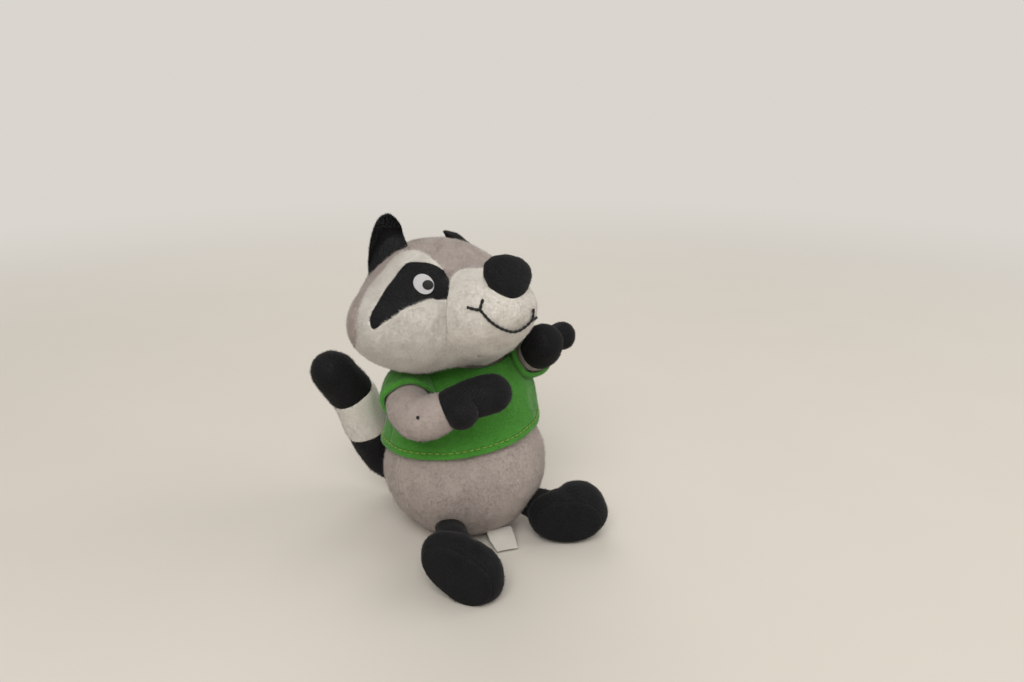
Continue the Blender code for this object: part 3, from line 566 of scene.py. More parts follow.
def tube_rows(line, radius, sides, flat=1.0, up=None):
    """Rings round a line: at each of its points a circle, pressed to flat of its height, whose width is in
    the plane of the line and of its side. The two ends close to poles."""
    tangent = unit(np.gradient(line, axis=0))
    side = unit(np.cross(tangent, up if up is not None else np.array([0.0, 0.0, 1.0])))
    above = np.cross(side, tangent)
    turn = 2 * np.pi * np.arange(sides) / sides
    radius = np.broadcast_to(radius, len(line)).copy()
    radius[[0, -1]] = 0.0
    return (line[:, None] + radius[:, None, None] * (
        np.cos(turn)[None, :, None] * side[:, None] + flat * np.sin(turn)[None, :, None] * above[:, None]))


def stitch_run(line, radius, stitch):
    """The radius of a sewn line along its length: full in the middle of each stitch, thin between two."""
    length = np.concatenate([[0], np.cumsum(np.linalg.norm(np.diff(line, axis=0), axis=1))])
    return radius * (0.50 + 0.50 * np.abs(np.sin(np.pi * length / stitch)) ** 0.6)


def joined_shell(name, parts, material, nodes=()):
    """Several closed shells as one object."""
    objects = [shell(f"{name}_{k}", rows, material) for k, rows in enumerate(parts)]
    points = np.vstack([outer_sides[o.name][0] for o in objects])
    starts = np.cumsum([0] + [len(outer_sides[o.name][0]) for o in objects])
    faces = np.vstack([outer_sides[o.name][1] + start for o, start in zip(objects, starts)])
    for o in objects:
        bpy.data.objects.remove(o)
    return piece(name, points, [faces], material, nodes)


mouth_lines = []
for control in (SMILE, TICK_RIGHT, TICK_LEFT):
    directions = toward(smooth_path(control, 160 if control is SMILE else 70))
    line = HEAD.points(directions, THREAD_RISE)
    rows = tube_rows(line, stitch_run(line, THREAD, STITCH), 12, 0.8, directions @ HEAD.frame.T)
    mouth_lines.append((line, rows))
mouth = joined_shell("mouth_stitch", [rows for _, rows in mouth_lines], black_thread, ["mouth_stitch"])

# Nap of the head
# The fibres lie away from the nose, longest on the cheeks. They are left out where the mouth's thread lies
# and where the eyes are embroidered.


def near_thread(world, within=0.0009):
    """True where a point lies within this distance of the mouth's thread."""
    close = np.zeros(len(world), bool)
    for line, _ in mouth_lines:
        for point in line[::2]:
            close |= ((world - point) ** 2).sum(1) < within**2
    return close


def away_from_nose(root, normal):
    """From the tip of the nose outwards, and a little down."""
    tip = HEAD.place + HEAD.frame @ np.array([0.0, -0.045, 0.0])
    return unit(root - tip) - np.array([0.0, 0.0, 0.35])


def off_eyes(world):
    """True where a point lies outside both eyes."""
    free = np.ones(len(world), bool)
    for side in (-1, 1):
        free &= oval_share(world, (side * EYE_DIRECTION[0], EYE_DIRECTION[1]), EYE_RADII, EYE_LEAN) > 1.0
    return free


pile("nap_head_grey", ["crown", "head_back_right", "head_back_left"], count=46000, length=0.0013,
     width=0.00017, lean=55, brush=away_from_nose, tones=grey_pile, seed=11)
pile("nap_cheeks", ["face_right", "face_left"], count=34000, length=0.0016, width=0.00017,
     lean=50, brush=away_from_nose, tones=white_pile, seed=12)
pile("nap_muzzle", ["muzzle"], count=20000, length=0.0010, width=0.00016, lean=55, brush=away_from_nose,
     tones=white_pile, seed=13, keep=lambda world: ~near_thread(world))
pile("nap_eye_patches", ["eye_patch_right", "eye_patch_left"], count=11000, length=0.0009, width=0.00017,
     lean=60, brush=away_from_nose, tones=black_pile, seed=14, keep=off_eyes)
pile("nap_nose", ["nose"], count=5000, length=0.0006, width=0.00016, lean=68,
     brush=lambda root, normal: np.tile([0.3, 0.2, -1.0], (len(root), 1)),
     tones=black_pile, seed=15)

# Ears
# Two layers of black plush sewn round the edge and turned right side out, caught in the head's seam.
EAR_FOOT_RIGHT = [(-108, 12), (-105, 24), (-101, 37), (-97, 47)]
EAR_FOOT_LEFT = [(127, 28), (124, 40), (120, 54), (115, 66)]
EAR_THICK, EAR_HEIGHT, EAR_TAPER, EAR_SUNK = 0.0026, 0.0195, 0.20, 0.0028
EAR_FOLD_RIGHT, EAR_FOLD_LEFT = 0.0045, -0.0019
EAR_RISE_RIGHT, EAR_RISE_LEFT = (-0.12, 0.10, 0.99), (-0.637, 0.432, 0.639)
EAR_CREASE_AT = 0.45


def ear(name, foot, fold, rise, side):
    """A flap: its middle surface rises from the foot line to a rounded top and bows outwards as a half
    sine. Its two faces stand off it by half a rounded thickness, less at the crease across it."""
    foot = HEAD.points(toward(smooth_path(foot, 60)), -EAR_SUNK)
    middle = foot.mean(0)
    rise = unit(np.array(rise))
    outward = unit(np.cross(foot[-1] - foot[0], rise)) * side
    turn = np.linspace(0, 2 * np.pi, 96, endpoint=False)
    u = 0.5 - 0.5 * np.cos(turn)
    face = np.sign(np.sin(turn)) * np.abs(np.sin(turn)) ** 0.5
    v = 1 - (1 - np.linspace(0, 1, 44)) ** 1.3
    stem = np.stack([np.interp(u, np.linspace(0, 1, 60), foot[:, k]) for k in range(3)], -1)
    stem = stem + (middle - stem) * EAR_TAPER * v[:, None, None]
    height = EAR_HEIGHT * np.sin(np.pi * (0.08 + 0.84 * u)) ** 0.4
    crease = 1 - 0.25 * np.exp(-(((v - EAR_CREASE_AT) / 0.07) ** 2))
    pinch = np.sqrt(np.clip(1 - v**5, 0, 1))[:, None] * crease[:, None]
    out = fold * np.sin(np.pi * v)[:, None] + 0.5 * EAR_THICK * face * pinch
    rows = stem + (height * v[:, None])[..., None] * rise + out[..., None] * outward
    rows = rows + 0.0003 * ripple(rows, 0.012, 31)[..., None] * outward
    rows = np.concatenate([np.broadcast_to(rows[0].mean(0), (1, *rows[0].shape)), rows])
    top = np.concatenate([rows, np.broadcast_to(rows[-1].mean(0), (1, *rows[0].shape))])
    obj = shell(name, top, black_plush, [name])


ear("ear_right", EAR_FOOT_RIGHT, EAR_FOLD_RIGHT, EAR_RISE_RIGHT, -1)
ear("ear_left", EAR_FOOT_LEFT, EAR_FOLD_LEFT, EAR_RISE_LEFT, 1)
pile("nap_ears", ["ear_right", "ear_left"], count=14000, length=0.0009, width=0.00017, lean=58,
     brush=lambda root, normal: np.tile([0.0, 0.3, 1.0], (len(root), 1)),
     tones=black_pile, seed=16)

# Body skin
# Grey plush in four panels over the filling: a belly, two backs and a flat seat. The nap is brushed
# downwards and shows marks where it was stroked.
BODY_MIDDLE = (0.0, 0.0, 0.045)
HIP_MIDDLE, HIP_RADII = (0.0, 0.0, 0.031), (0.0378, 0.0365, 0.0350)
CHEST_MIDDLE, CHEST_RADII = (0.0, 0.001, 0.061), (0.0318, 0.0262, 0.0330)
SIDE_SEAM, SEAT_SEAM, NECK_SEAM = 80.0, -60.0, 84.0
FOLD_DEPTH = 0.0005
BODY = Form((0.0, 0.0, 0.0), np.eye(3), BODY_MIDDLE, [
    (np.array(HIP_MIDDLE), np.array(HIP_RADII), np.eye(3)),
    (np.array(CHEST_MIDDLE), np.array(CHEST_RADII), np.eye(3)),
])


def slab(name, form, turns, heights, counts, out, thick, material, nodes):
    """A sheet on a form between two turns and two heights, the lower of which may be a function of the
    turn: an outer and an inner grid of points, one thickness apart."""
    turn = np.linspace(*turns, counts[0])[:, None]
    low = heights[0](turn) if callable(heights[0]) else heights[0]
    up = low + (heights[1] - low) * np.linspace(0, 1, counts[1])[None, :]
    directions = toward(np.stack(np.broadcast_arrays(turn, up), -1))
    edge = np.minimum(np.minimum(turn - turns[0], turns[1] - turn), np.minimum(up - low, heights[1] - up))
    rise = out(directions, np.radians(edge) * FORM_SIZE)
    faces = form.points(directions, rise), form.points(directions, rise - thick)
    return closed_sheet(name, *faces, material, nodes)


def body_rise(directions, from_seam):
    """The body's fabric falls off towards each seam, is a little uneven, and has upright folds below the
    shirt: a sine round the body that fades away from the hem as a bell curve."""
    side = np.arctan2(directions[..., 0], -directions[..., 1])
    up = np.degrees(np.arcsin(directions[..., 2]))
    below_hem = np.exp(-(((up + 8) / 16) ** 2))
    folds = FOLD_DEPTH * np.sin(13 * side + 1.5 * ripple(directions, 0.9, 52)) * below_hem
    lumps = uneven(directions, 0.0004, 0.016, 8)
    return folds + lumps - NAP_ROOM - SEAM_DIP * np.exp(-from_seam / SEAM_WIDTH)


for name, turns in (("belly", (-SIDE_SEAM, SIDE_SEAM)), ("body_back_left", (SIDE_SEAM, 180.0)),
                    ("body_back_right", (180.0, 360.0 - SIDE_SEAM))):
    obj = slab(name, BODY, turns, (SEAT_SEAM, NECK_SEAM), (110, 90), body_rise, PLUSH_THICK, grey_plush,
               [name])
seat_loop = toward([(turn, SEAT_SEAM) for turn in np.linspace(0.0, 360.0, 120, endpoint=False)])
seat = fan_panel("seat", BODY, seat_loop, (0.0, -90.0), grey_plush, ["seat"], out=-NAP_ROOM)


def downwards(root, normal):
    """Down the body, with a few strokes to the side."""
    stroke = ripple(root * np.array([1, 1, 0.4]), 0.022, 41)
    return np.stack([0.9 * stroke, 0.3 * stroke, -np.ones(len(root))], -1)


def off_shirt(world):
    """True below the shirt and above its collar, where the body's nap can be seen."""
    return (world[:, 2] < 0.050) | (world[:, 2] > 0.088)


pile("nap_body", ["belly", "body_back_left", "body_back_right", "seat"], count=48000, length=0.0014,
     width=0.00018, lean=57, brush=downwards, tones=grey_pile, seed=17, keep=off_shirt)

# Shirt
# A short shirt of bright green fleece: a front and a back sewn at the sides, a hem turned up under it and
# sewn through with lime thread, and two short sleeves.
HEM_UP, HEM_TILT, HEM_HIGH_SIDE, COLLAR, SHIRT_SIDE = 5.74, 6.3, 60.0, 62.5, 92.0
CLOTH = 0.0011
SHIRT_OUT = 0.0022
HEM_FLARE = 0.0014
STITCH_UP = 4.24
GREEN_TONES = [(0.035, 0.17, 0.022), (0.065, 0.27, 0.035), (0.105, 0.38, 0.055)]
green_fleece = plush_skin("green_fleece", GREEN_TONES[0], GREEN_TONES[2], 0.3, 0.0005)
green_pile = pile_tones("green_pile", GREEN_TONES, 0.3)


def hem_up(side):
    """How many degrees up the hem runs: a constant and a cosine, as the shirt has ridden up on one side."""
    return HEM_UP + HEM_TILT * np.cos(np.radians(side - HEM_HIGH_SIDE))


def shirt_rise(directions, from_edge):
    """The shirt stands off the body, opens towards its hem, and has soft folds: slanting waves that are
    strongest below the arms, with a rounded turn at the hem."""
    side = np.degrees(np.arctan2(directions[..., 0], -directions[..., 1]))
    up = np.degrees(np.arcsin(directions[..., 2]))
    low = hem_up(side)
    share = np.clip((up - low) / (COLLAR - low), 0, 1)
    flare = HEM_FLARE * (1 - share) ** 3
    folds = np.sin(np.radians(side) * 9 + share * 5 + 1.5 * ripple(directions, 0.9, 51))
    sideways = 0.5 + 0.5 * np.abs(np.sin(np.radians(side)))
    strength = 0.00055 * np.exp(-(((share - 0.30) / 0.28) ** 2)) * sideways
    groove = -0.00045 * np.exp(-(((up - low - STITCH_UP) / 0.9) ** 2))
    return SHIRT_OUT + flare + folds * strength + groove - 0.0006 * np.exp(-from_edge / 0.0006)


for name, turns in (("shirt_front", (-SHIRT_SIDE, SHIRT_SIDE)),
                    ("shirt_back", (SHIRT_SIDE, 360 - SHIRT_SIDE))):
    obj = slab(name, BODY, turns, (hem_up, COLLAR), (150, 70), shirt_rise, CLOTH, green_fleece, [name])
pile("nap_shirt", ["shirt_front", "shirt_back"], count=42000, length=0.0007, width=0.00017, lean=60,
     brush=downwards, tones=green_pile, seed=18)

# Hem thread
# Lockstitch in lime thread round the shirt, a few millimetres above its edge.
HEM_THREAD, HEM_STITCHES = 0.00028, 74
# The second, darker green is the painted shade in the grooves between the thread's rows.
lime_thread = stitched("lime_thread", (0.42, 0.62, 0.10), (0.20, 0.36, 0.04), 0.0003, roughness=0.6)
stitches = []
for k in range(HEM_STITCHES):
    sides = (k + np.linspace(0.14, 0.86, 9)) * 360 / HEM_STITCHES
    directions = toward(np.stack([sides, hem_up(sides) + STITCH_UP], -1))
    lift = 0.0004 * np.sin(np.pi * np.linspace(0, 1, 9)) + 0.0002
    line = BODY.points(directions, shirt_rise(directions, np.full(9, 0.01)) + lift)
    stitches.append(tube_rows(line, HEM_THREAD, 6))
hem = joined_shell("hem_stitch", stitches, lime_thread, ["hem_stitch"])

# Arms, sleeves and paws
# Grey plush tubes from the shoulders, each ending in a black plush paw with a thumb. The right forearm
# crosses the chest, with a small black tack; the left paw is up.
ARM_RIGHT = [(-0.0195, 0.0015, 0.0777), (-0.0295, -0.0070, 0.0750), (-0.0345, -0.0190, 0.0704),
             (-0.0330, -0.0295, 0.0703), (-0.0250, -0.0358, 0.0746), (-0.0166, -0.0373, 0.0775),
             (-0.0076, -0.0380, 0.0785), (0.0022, -0.0374, 0.0775)]
ARM_RIGHT_RADII = [0.0080, 0.0090, 0.0099, 0.0099, 0.0086, 0.0086, 0.0088, 0.0080]
WRIST_RIGHT, THUMB_RIGHT = 0.0485, (0.0530, -8.0)
ARM_LEFT = [(0.0150, 0.0010, 0.0800), (0.0235, -0.0070, 0.0815), (0.0265, -0.0150, 0.0838),
            (0.0272, -0.0208, 0.0868), (0.0265, -0.0255, 0.0920), (0.0250, -0.0280, 0.0995)]
ARM_LEFT_RADII = [0.0078, 0.0084, 0.0088, 0.0092, 0.0092, 0.0084]
WRIST_LEFT, THUMB_LEFT = 0.0255, (0.0325, 160.0)
THUMB_RADIUS, THUMB_OUT_RIGHT, THUMB_OUT_LEFT = 0.0060, -0.0020, 0.0010
SLEEVE_START, SLEEVE_END = 0.010, 0.0225
SLEEVE_ROWS, SLEEVE_COLUMNS = 34, 72
CUFF_WIDTH, CUFF_ROLL = 0.0032, 0.0008
LIMB_NAP_ROOM = 0.0005
TACK, TACK_RADIUS, TACK_RISE = (0.0408, 22.0), 0.0007, 0.0002


class Limb:
    """A stuffed tube: round a smooth centre line, circles whose radius follows its own smooth line. A lobe,
    such as a thumb, is a ball that swells the radius where the ray from the centre line leaves it."""

    def __init__(self, centres, radii):
        self.line = smooth_path(centres, 200)
        self.size = smooth_path(np.array(radii)[:, None], 200)[:, 0]
        steps = np.linalg.norm(np.diff(self.line, axis=0), axis=1)
        self.at = np.concatenate([[0.0], np.cumsum(steps)])
        self.length = self.at[-1]
        self.lobes = []

    def centre(self, at):
        return np.stack([np.interp(at, self.at, self.line[:, k]) for k in range(3)], -1)

    def surface(self, at, turn, shrink=1.0, grow=0.0, lobes=True):
        """The points at these distances along the line and turns about it, as arrays of one shape."""
        at, turn, shrink, grow = np.broadcast_arrays(at, turn, shrink, grow)
        step = 0.02 * self.length
        low, high = np.maximum(at - step, 0), np.minimum(at + step, self.length)
        tangent = unit(self.centre(high) - self.centre(low))
        side = unit(np.cross(tangent, [0.0, 0.0, 1.0]))
        up = np.cross(side, tangent)
        ray = np.cos(turn)[..., None] * side + np.sin(turn)[..., None] * up
        start = self.centre(at)
        radius = (np.interp(at, self.at, self.size) + grow) * shrink
        for middle, size in self.lobes if lobes else []:
            along = (ray * (middle - start)).sum(-1)
            apart = ((middle - start) ** 2).sum(-1) - along**2
            reach = np.where(apart < size**2, along + np.sqrt(np.maximum(size**2 - apart, 0.0)), 0.0)
            radius = (radius**5 + np.maximum(reach, 0.0) ** 5) ** 0.2
        return start + radius[..., None] * ray

    def point(self, place, grow=0.0):
        return self.surface(np.array(place[0]), np.radians(np.array(place[1])), 1.0, grow)

    def rows(self, start, end, stations=70, sides=64, round_start=False, round_end=False, seam=SEAM_DIP,
             grow=0.0):
        """Rings from start to end. A round end is a half ellipse, and a sewn one falls off to its seam."""
        s = np.linspace(0, 1, stations)
        if round_end:
            s = np.sin(0.5 * np.pi * s)
        at = start + (end - start) * s
        size_start, size_end = np.interp([start, end], self.at, self.size)
        shrink = np.ones(stations)
        if round_start:
            shrink *= np.sqrt(1 - np.clip((start + size_start - at) / size_start, 0, 1) ** 2)
        if round_end:
            shrink *= np.sqrt(1 - np.clip((at - end + size_end) / size_end, 0, 1) ** 2)
        dip = np.full(stations, -LIMB_NAP_ROOM)
        if not round_start:
            dip -= seam * np.exp(-(at - start) / SEAM_WIDTH)
        if not round_end:
            dip -= seam * np.exp(-(end - at) / SEAM_WIDTH)
        turn = np.linspace(0, 2 * np.pi, sides, endpoint=False)
        rings = self.surface(at[:, None], turn[None, :], shrink[:, None], (dip + grow)[:, None])
        middle = self.centre(at)[:, None]
        rings = middle + (rings - middle) * (1 + 0.025 * ripple(rings, 0.010, 61))[..., None]
        first = np.broadcast_to(self.centre(np.array([start])), (1, sides, 3))
        last = np.broadcast_to(self.centre(np.array([end])), (1, sides, 3))
        return np.concatenate([first, rings, last])


def along_limb(limb):
    """A brushed direction that follows the limb towards its end."""
    def brush(root, normal):
        nearest = ((root[:, None] - limb.line[::5][None]) ** 2).sum(-1).argmin(1)
        return unit(np.gradient(limb.line[::5], axis=0))[nearest]
    return brush


def arm(hand, centres, radii, wrist, thumb, thumb_out):
    """One arm: its tube, the sleeve round that with a rolled cuff, the paw with its thumb, and their nap."""
    limb = Limb(centres, radii)
    upper = shell(f"arm_{hand}", limb.rows(0.0, wrist, 110), grey_plush, [f"arm_{hand}"])
    reach = np.linspace(SLEEVE_START - 0.004, SLEEVE_END, SLEEVE_ROWS)
    puff = 0.0015 + 0.0006 * np.sin(np.pi * (reach - reach[0]) / (reach[-1] - reach[0]))
    from_roll = (SLEEVE_END - CUFF_WIDTH / 2 - reach) / (CUFF_WIDTH / 2)
    puff += CUFF_ROLL * np.sqrt(np.clip(1 - from_roll**2, 0, 1))
    turn = np.linspace(0, 2 * np.pi, SLEEVE_COLUMNS, endpoint=False)
    wave = 0.0003 * np.sin(5 * turn)[None, :] * np.linspace(0, 1, SLEEVE_ROWS)[:, None]
    outside = limb.surface(reach[:, None], turn[None, :], 1.0, puff[:, None] + wave, lobes=False)
    inside = limb.surface(reach[::-1][:, None], turn[None, :], 1.0, 0.0003 + wave[::-1], lobes=False)
    number = np.arange(2 * SLEEVE_ROWS * SLEEVE_COLUMNS).reshape(-1, SLEEVE_COLUMNS)
    nxt, turned_on = np.roll(number, -1, axis=0), np.roll(number, -1, axis=1)
    quads = np.stack([number, turned_on, np.roll(nxt, -1, axis=1), nxt], -1).reshape(-1, 4)
    sleeve = piece(f"sleeve_{hand}", np.vstack([outside.reshape(-1, 3), inside.reshape(-1, 3)]), [quads],
                   green_fleece, [f"sleeve_{hand}"], outer=SLEEVE_ROWS * SLEEVE_COLUMNS)
    limb.lobes.append((limb.point(thumb, thumb_out), THUMB_RADIUS))
    paw = shell(f"paw_{hand}", limb.rows(wrist, limb.length, 80, 80, round_end=True), black_plush,
                [f"paw_{hand}"])
    pile(f"nap_arm_{hand}", [f"arm_{hand}"], count=11000, length=0.0009, width=0.00017, lean=45,
         brush=along_limb(limb), tones=grey_pile, seed=19)
    pile(f"nap_paw_{hand}", [f"paw_{hand}"], count=8000, length=0.0008, width=0.00017, lean=62,
         brush=along_limb(limb), tones=black_pile, seed=20)
    pile(f"nap_sleeve_{hand}", [f"sleeve_{hand}"], count=6000, length=0.0007, width=0.00017, lean=60,
         brush=along_limb(limb), tones=green_pile, seed=21)
    return limb


arm_right = arm("right", ARM_RIGHT, ARM_RIGHT_RADII, WRIST_RIGHT, THUMB_RIGHT, THUMB_OUT_RIGHT)
arm_left = arm("left", ARM_LEFT, ARM_LEFT_RADII, WRIST_LEFT, THUMB_LEFT, THUMB_OUT_LEFT)
tack_middle = arm_right.point(TACK, TACK_RISE)
tack = shell("arm_tack", tack_middle + TACK_RADIUS * ball_directions(20, 13), black_thread, ["arm_tack"])

# Legs, feet and soles
# Short black plush legs end in rounded feet, each with a flat sole panel sewn in.
LEG_RADII = [0.0065, 0.0095]
FOOT_RADII, TOE_RADII = (0.0115, 0.0178, 0.0120), (0.0115, 0.0120, 0.0120)
SOLE_AT, SOLE_THICK, SOLE_CROWN = 0.0058, 0.0012, 0.0006
FOOT_COLUMNS, FOOT_ROWS, SOLE_RINGS = 110, 80, 26


def leg(hand, hip_joint, place, pose, toe):
    """The foot's surface stops at the plane of its sole. The sole is a crowned disc: its edge is where the
    form meets that plane, found by halving, and its face rises towards the middle."""
    pose = turned(*pose)
    form = Form(place, pose, (0.0, 0.0, 0.0), [
        (np.zeros(3), np.array(FOOT_RADII), np.eye(3)), (np.array(toe), np.array(TOE_RADII), np.eye(3))])
    directions = ball_directions(FOOT_COLUMNS, FOOT_ROWS)
    radius = form.radius(directions) + uneven(directions, 0.00025, 0.010, 71, 0.015)
    local = directions * radius[..., None]
    local[..., 0] = np.maximum(local[..., 0], -SOLE_AT)
    world = form.place + local @ pose.T
    world[..., 2] = np.maximum(world[..., 2], 0.0003)
    foot = shell(f"foot_{hand}", world, black_plush, [f"foot_{hand}"])
    turn = np.linspace(0, 2 * np.pi, FOOT_COLUMNS, endpoint=False)
    low, high = np.zeros(FOOT_COLUMNS), np.full(FOOT_COLUMNS, 0.08)
    for _ in range(30):
        middle = 0.5 * (low + high)
        ray = np.stack([np.full(FOOT_COLUMNS, -SOLE_AT), middle * np.cos(turn), middle * np.sin(turn)], -1)
        inside = np.linalg.norm(ray, axis=1) < form.radius(unit(ray))
        low, high = np.where(inside, middle, low), np.where(inside, high, middle)
    reach = np.concatenate([np.linspace(0, 1, SOLE_RINGS) ** 0.8, [0.98, 0.6, 0.3, 0.0]])
    face = -SOLE_AT - SOLE_CROWN - SOLE_THICK * np.sqrt(np.clip(1 - reach**6, 0, 1))
    face[SOLE_RINGS:] = -SOLE_AT + 0.0005
    size = low * 0.985
    disc = np.stack([np.broadcast_to(face[:, None], (len(face), FOOT_COLUMNS)),
                     reach[:, None] * size * np.cos(turn),
                     reach[:, None] * size * np.sin(turn)], -1)
    world = form.place + disc @ pose.T
    world[..., 2] = np.maximum(world[..., 2], 0.0002)
    sole = shell(f"sole_{hand}", world, black_plush, [f"sole_{hand}"],
                 outer_rows=SOLE_RINGS)
    limb = Limb([hip_joint, place], LEG_RADII)
    upper = shell(f"leg_{hand}", limb.rows(0.0, limb.length, 50, seam=0.0), black_plush, [f"leg_{hand}"])
    pile(f"nap_foot_{hand}", [f"foot_{hand}", f"sole_{hand}", f"leg_{hand}"], count=15000, length=0.0009,
         width=0.00017, lean=60, brush=along_limb(limb), tones=black_pile, seed=22)


leg("right", (-0.0180, -0.0180, 0.0115), (-0.0300, -0.0537, 0.0134), (41.0, -28.0), (0.0005, -0.0062, 0.0))
leg("left", (0.0180, -0.0140, 0.0140), (0.0318, -0.0385, 0.0115), (62.0, 0.0), (0.0050, -0.0060, 0.0015))

# Tail
# Four rings of white and black plush sewn end to end, filled, and sewn to the back above the seat.
TAIL = [(-0.0060, 0.0290, 0.0135), (-0.0140, 0.0385, 0.0140), (-0.0235, 0.0430, 0.0210),
        (-0.0300, 0.0435, 0.0350), (-0.0380, 0.0435, 0.0565), (-0.0530, 0.0435, 0.0775)]
TAIL_RADII = [0.0085, 0.0095, 0.0100, 0.0108, 0.0112, 0.0100]
TAIL_RINGS = [0.0170, 0.0420, 0.0635]
tail = Limb(TAIL, TAIL_RADII)
ring_ends = [0.0, *TAIL_RINGS, tail.length]
for number, (start, end) in enumerate(zip(ring_ends, ring_ends[1:])):
    dark = number % 2
    name = f"tail_ring_{number + 1}"
    rows = tail.rows(start, end, 60, round_end=end == tail.length)
    ring = shell(name, rows, black_plush if dark else white_plush, [name])
for name, rings, tones, slot in (("nap_tail_white", (1, 3), white_pile, "white_plush"),
                                 ("nap_tail_black", (2, 4), black_pile, "black_plush")):
    pile(name, [f"tail_ring_{k}" for k in rings], count=12000, length=0.0013, width=0.00018, lean=55,
         brush=along_limb(tail), tones=tones, seed=23)

# Care label
# A strip of woven satin tape sewn into the seam between the legs. It is left blank.
LABEL_PLACE, LABEL_SIZE, LABEL_TURN = (0.0028, -0.0302, 0.0033), (0.0118, 0.0124, 0.0006), (-12.0, -22.0)
label_tape = Finish("label_tape", Specular_IOR_Level=0.35, Sheen_Weight=0.1)
warp = label_tape.node("TexWave", {"bands_direction": "X"}, {
    "Vector": label_tape.place(), "Scale": 900.0, "Distortion": 0.6}, output="Fac")
soil = label_tape.noise(0.004)
# The colour is darker between the ribs of the weave, where the bump is low: painted shade. The soil noise
# adds random blotches.
soil_and_weave_shade_colour = label_tape.blend(soil * 0.6 + warp * 0.3, (0.52, 0.50, 0.46), (0.74, 0.72, 0.68))
label_tape = label_tape.wear(soil_and_weave_shade_colour, 0.7 - warp * 0.15, warp, 0.0001, 0.4)


def label_points(u, v, depth):
    """A strip that waves a little along its length and narrows at one corner of its free end."""
    width, length, thick = LABEL_SIZE
    lift = 0.0007 * np.sin(2.2 * v + 0.6) + 0.0004 * np.sin(3 * u) * v
    narrowed = 1 - 0.3 * np.clip(2 * v - 1, 0, 1) * np.where(u < 0.5, 1.0, 0.2)
    local = np.stack([(u - 0.5) * width * narrowed, (0.5 - v) * length, lift + (0.5 - depth) * thick], -1)
    world = np.array(LABEL_PLACE) + local @ turned(*LABEL_TURN).T
    world[..., 2] = np.maximum(world[..., 2], 0.0002)
    return world


u, v = np.meshgrid(np.linspace(0, 1, 26), np.linspace(0, 1, 40), indexing="ij")
faces = label_points(u, v, 0.0), label_points(u, v, 1.0)
label = closed_sheet("care_label", *faces, label_tape, ["care_label"])

# Filling
# Polyester fibre inside the head and the body. It is out of sight behind the skin.
filling = Finish("polyester_fibre", Sheen_Weight=0.2)
tangle = filling.noise(0.0012, 5.0)
filling = filling.wear(filling.blend(tangle, (0.66, 0.66, 0.65), (0.88, 0.88, 0.86)), 0.9 + tangle * 0.1,
                       tangle, 0.0006)
for name in ("head_filling", "body_filling"):
    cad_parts[name].data.materials.clear()
    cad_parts[name].data.materials.append(filling)

# Floor, light and camera
# A plain pale floor, a wide soft lamp from the upper left, a weaker one from the right and one from behind,
# and pale air. Far from the toy the floor turns into the colour of the air.
FLOOR_HALF = 4
AIR_COLOUR = (0.70, 0.67, 0.62, 1.0)
CAMERA_PLACE, CAMERA_TILT, CAMERA_TURN = (-0.1635, -0.3271, 0.2108), 71.6, -30.0
floor_mesh = bpy.data.meshes.new("floor")
floor_corners = [(-FLOOR_HALF, -FLOOR_HALF, 0), (FLOOR_HALF, -FLOOR_HALF, 0), (FLOOR_HALF, FLOOR_HALF, 0),
                 (-FLOOR_HALF, FLOOR_HALF, 0)]
floor_mesh.from_pydata(floor_corners, [], [(0, 1, 2, 3)])
floor = bpy.data.objects.new("floor", floor_mesh)
bpy.context.scene.collection.objects.link(floor)
floor_paint = Finish("floor_paint", Roughness=0.8, Specular_IOR_Level=0.2)
speck = floor_paint.noise(0.05)
floor_colour = floor_paint.blend(speck, (0.70, 0.665, 0.61), (0.73, 0.695, 0.64))
floor.data.materials.append(floor_paint.wear(floor_colour))
far = floor_paint.node("VectorMath", {"operation": "LENGTH"}, {0: floor_paint.place()}, output="Value")
far = floor_paint.node("MapRange", {"interpolation_type": "SMOOTHSTEP"}, {
    "Value": far, "From Min": 0.30, "From Max": 1.0}, output="Result")
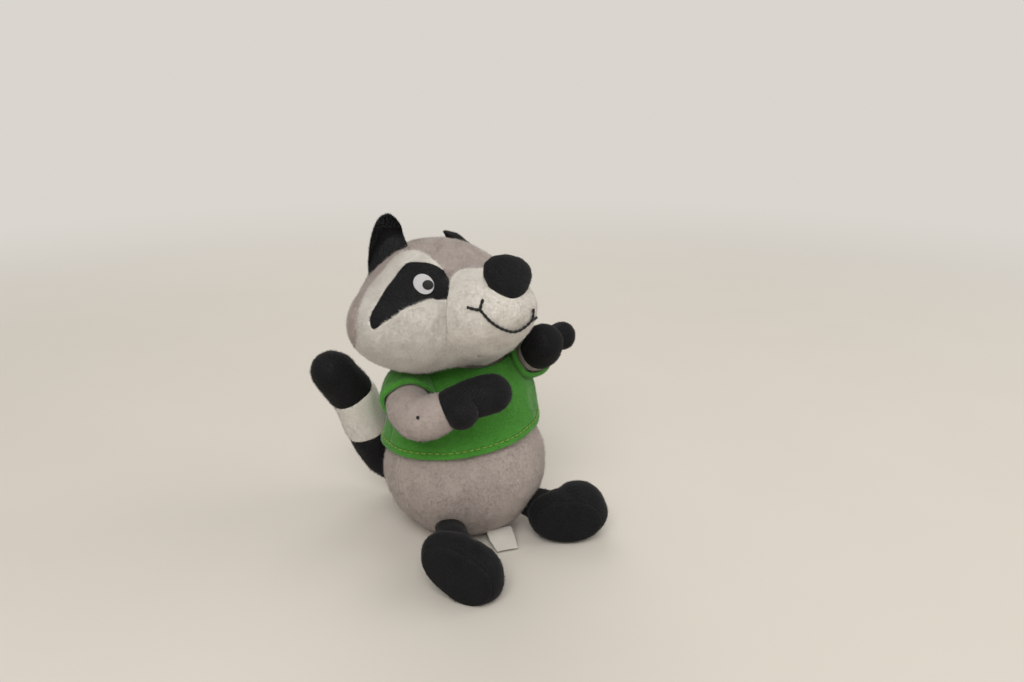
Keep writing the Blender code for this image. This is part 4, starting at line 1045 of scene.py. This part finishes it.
air = floor_paint.node("Emission", None, {"Color": AIR_COLOUR}, output="Emission")
ground = Value(floor_paint.tree, floor_paint.shader.outputs["BSDF"])
fading = floor_paint.node("MixShader", None, {0: far, 1: ground, 2: air}, output="Shader")
plug(floor_paint.tree, floor_paint.tree.nodes["Material Output"].inputs["Surface"], fading)

for name, place, energy, size in (("key_light", (-0.55, -0.75, 0.95), 9.0, 0.7),
                                  ("fill_light", (0.80, -0.45, 0.55), 3.0, 0.8),
                                  ("back_light", (0.25, 0.75, 0.80), 3.0, 0.8)):
    lamp = bpy.data.lights.new(name, "AREA")
    lamp.energy, lamp.size = energy, size
    lamp.color = (1.0, 0.975, 0.94)
    obj = bpy.data.objects.new(name, lamp)
    obj.location = place
    aim = unit(np.array([0.0, 0.0, 0.07]) - np.array(place))
    obj.rotation_euler = (np.arccos(-aim[2]), 0.0, np.arctan2(aim[1], aim[0]) - np.pi / 2)
    bpy.context.scene.collection.objects.link(obj)

world = bpy.data.worlds.new("pale_air")
bpy.context.scene.world = world
world.use_nodes = True
background = world.node_tree.nodes["Background"]
background.inputs["Color"].default_value = AIR_COLOUR
background.inputs["Strength"].default_value = 0.45
seen = world.node_tree.nodes.new("ShaderNodeLightPath")
bright = world.node_tree.nodes.new("ShaderNodeMath")
bright.operation = "MULTIPLY_ADD"
bright.inputs[1].default_value, bright.inputs[2].default_value = 0.45, 0.55
world.node_tree.links.new(seen.outputs["Is Camera Ray"], bright.inputs[0])
world.node_tree.links.new(bright.outputs[0], background.inputs["Strength"])

camera_data = bpy.data.cameras.new("camera")
camera_data.sensor_width, camera_data.lens = 36.0, 30.27
camera_data.clip_start, camera_data.clip_end = 0.01, 20.0
camera = bpy.data.objects.new("camera", camera_data)
camera.location = CAMERA_PLACE
camera.rotation_euler = (np.radians(CAMERA_TILT), 0.0, np.radians(CAMERA_TURN))
bpy.context.scene.collection.objects.link(camera)
bpy.context.scene.camera = camera
bpy.context.scene.view_settings.view_transform = "Standard"

bpy.context.view_layer.update()
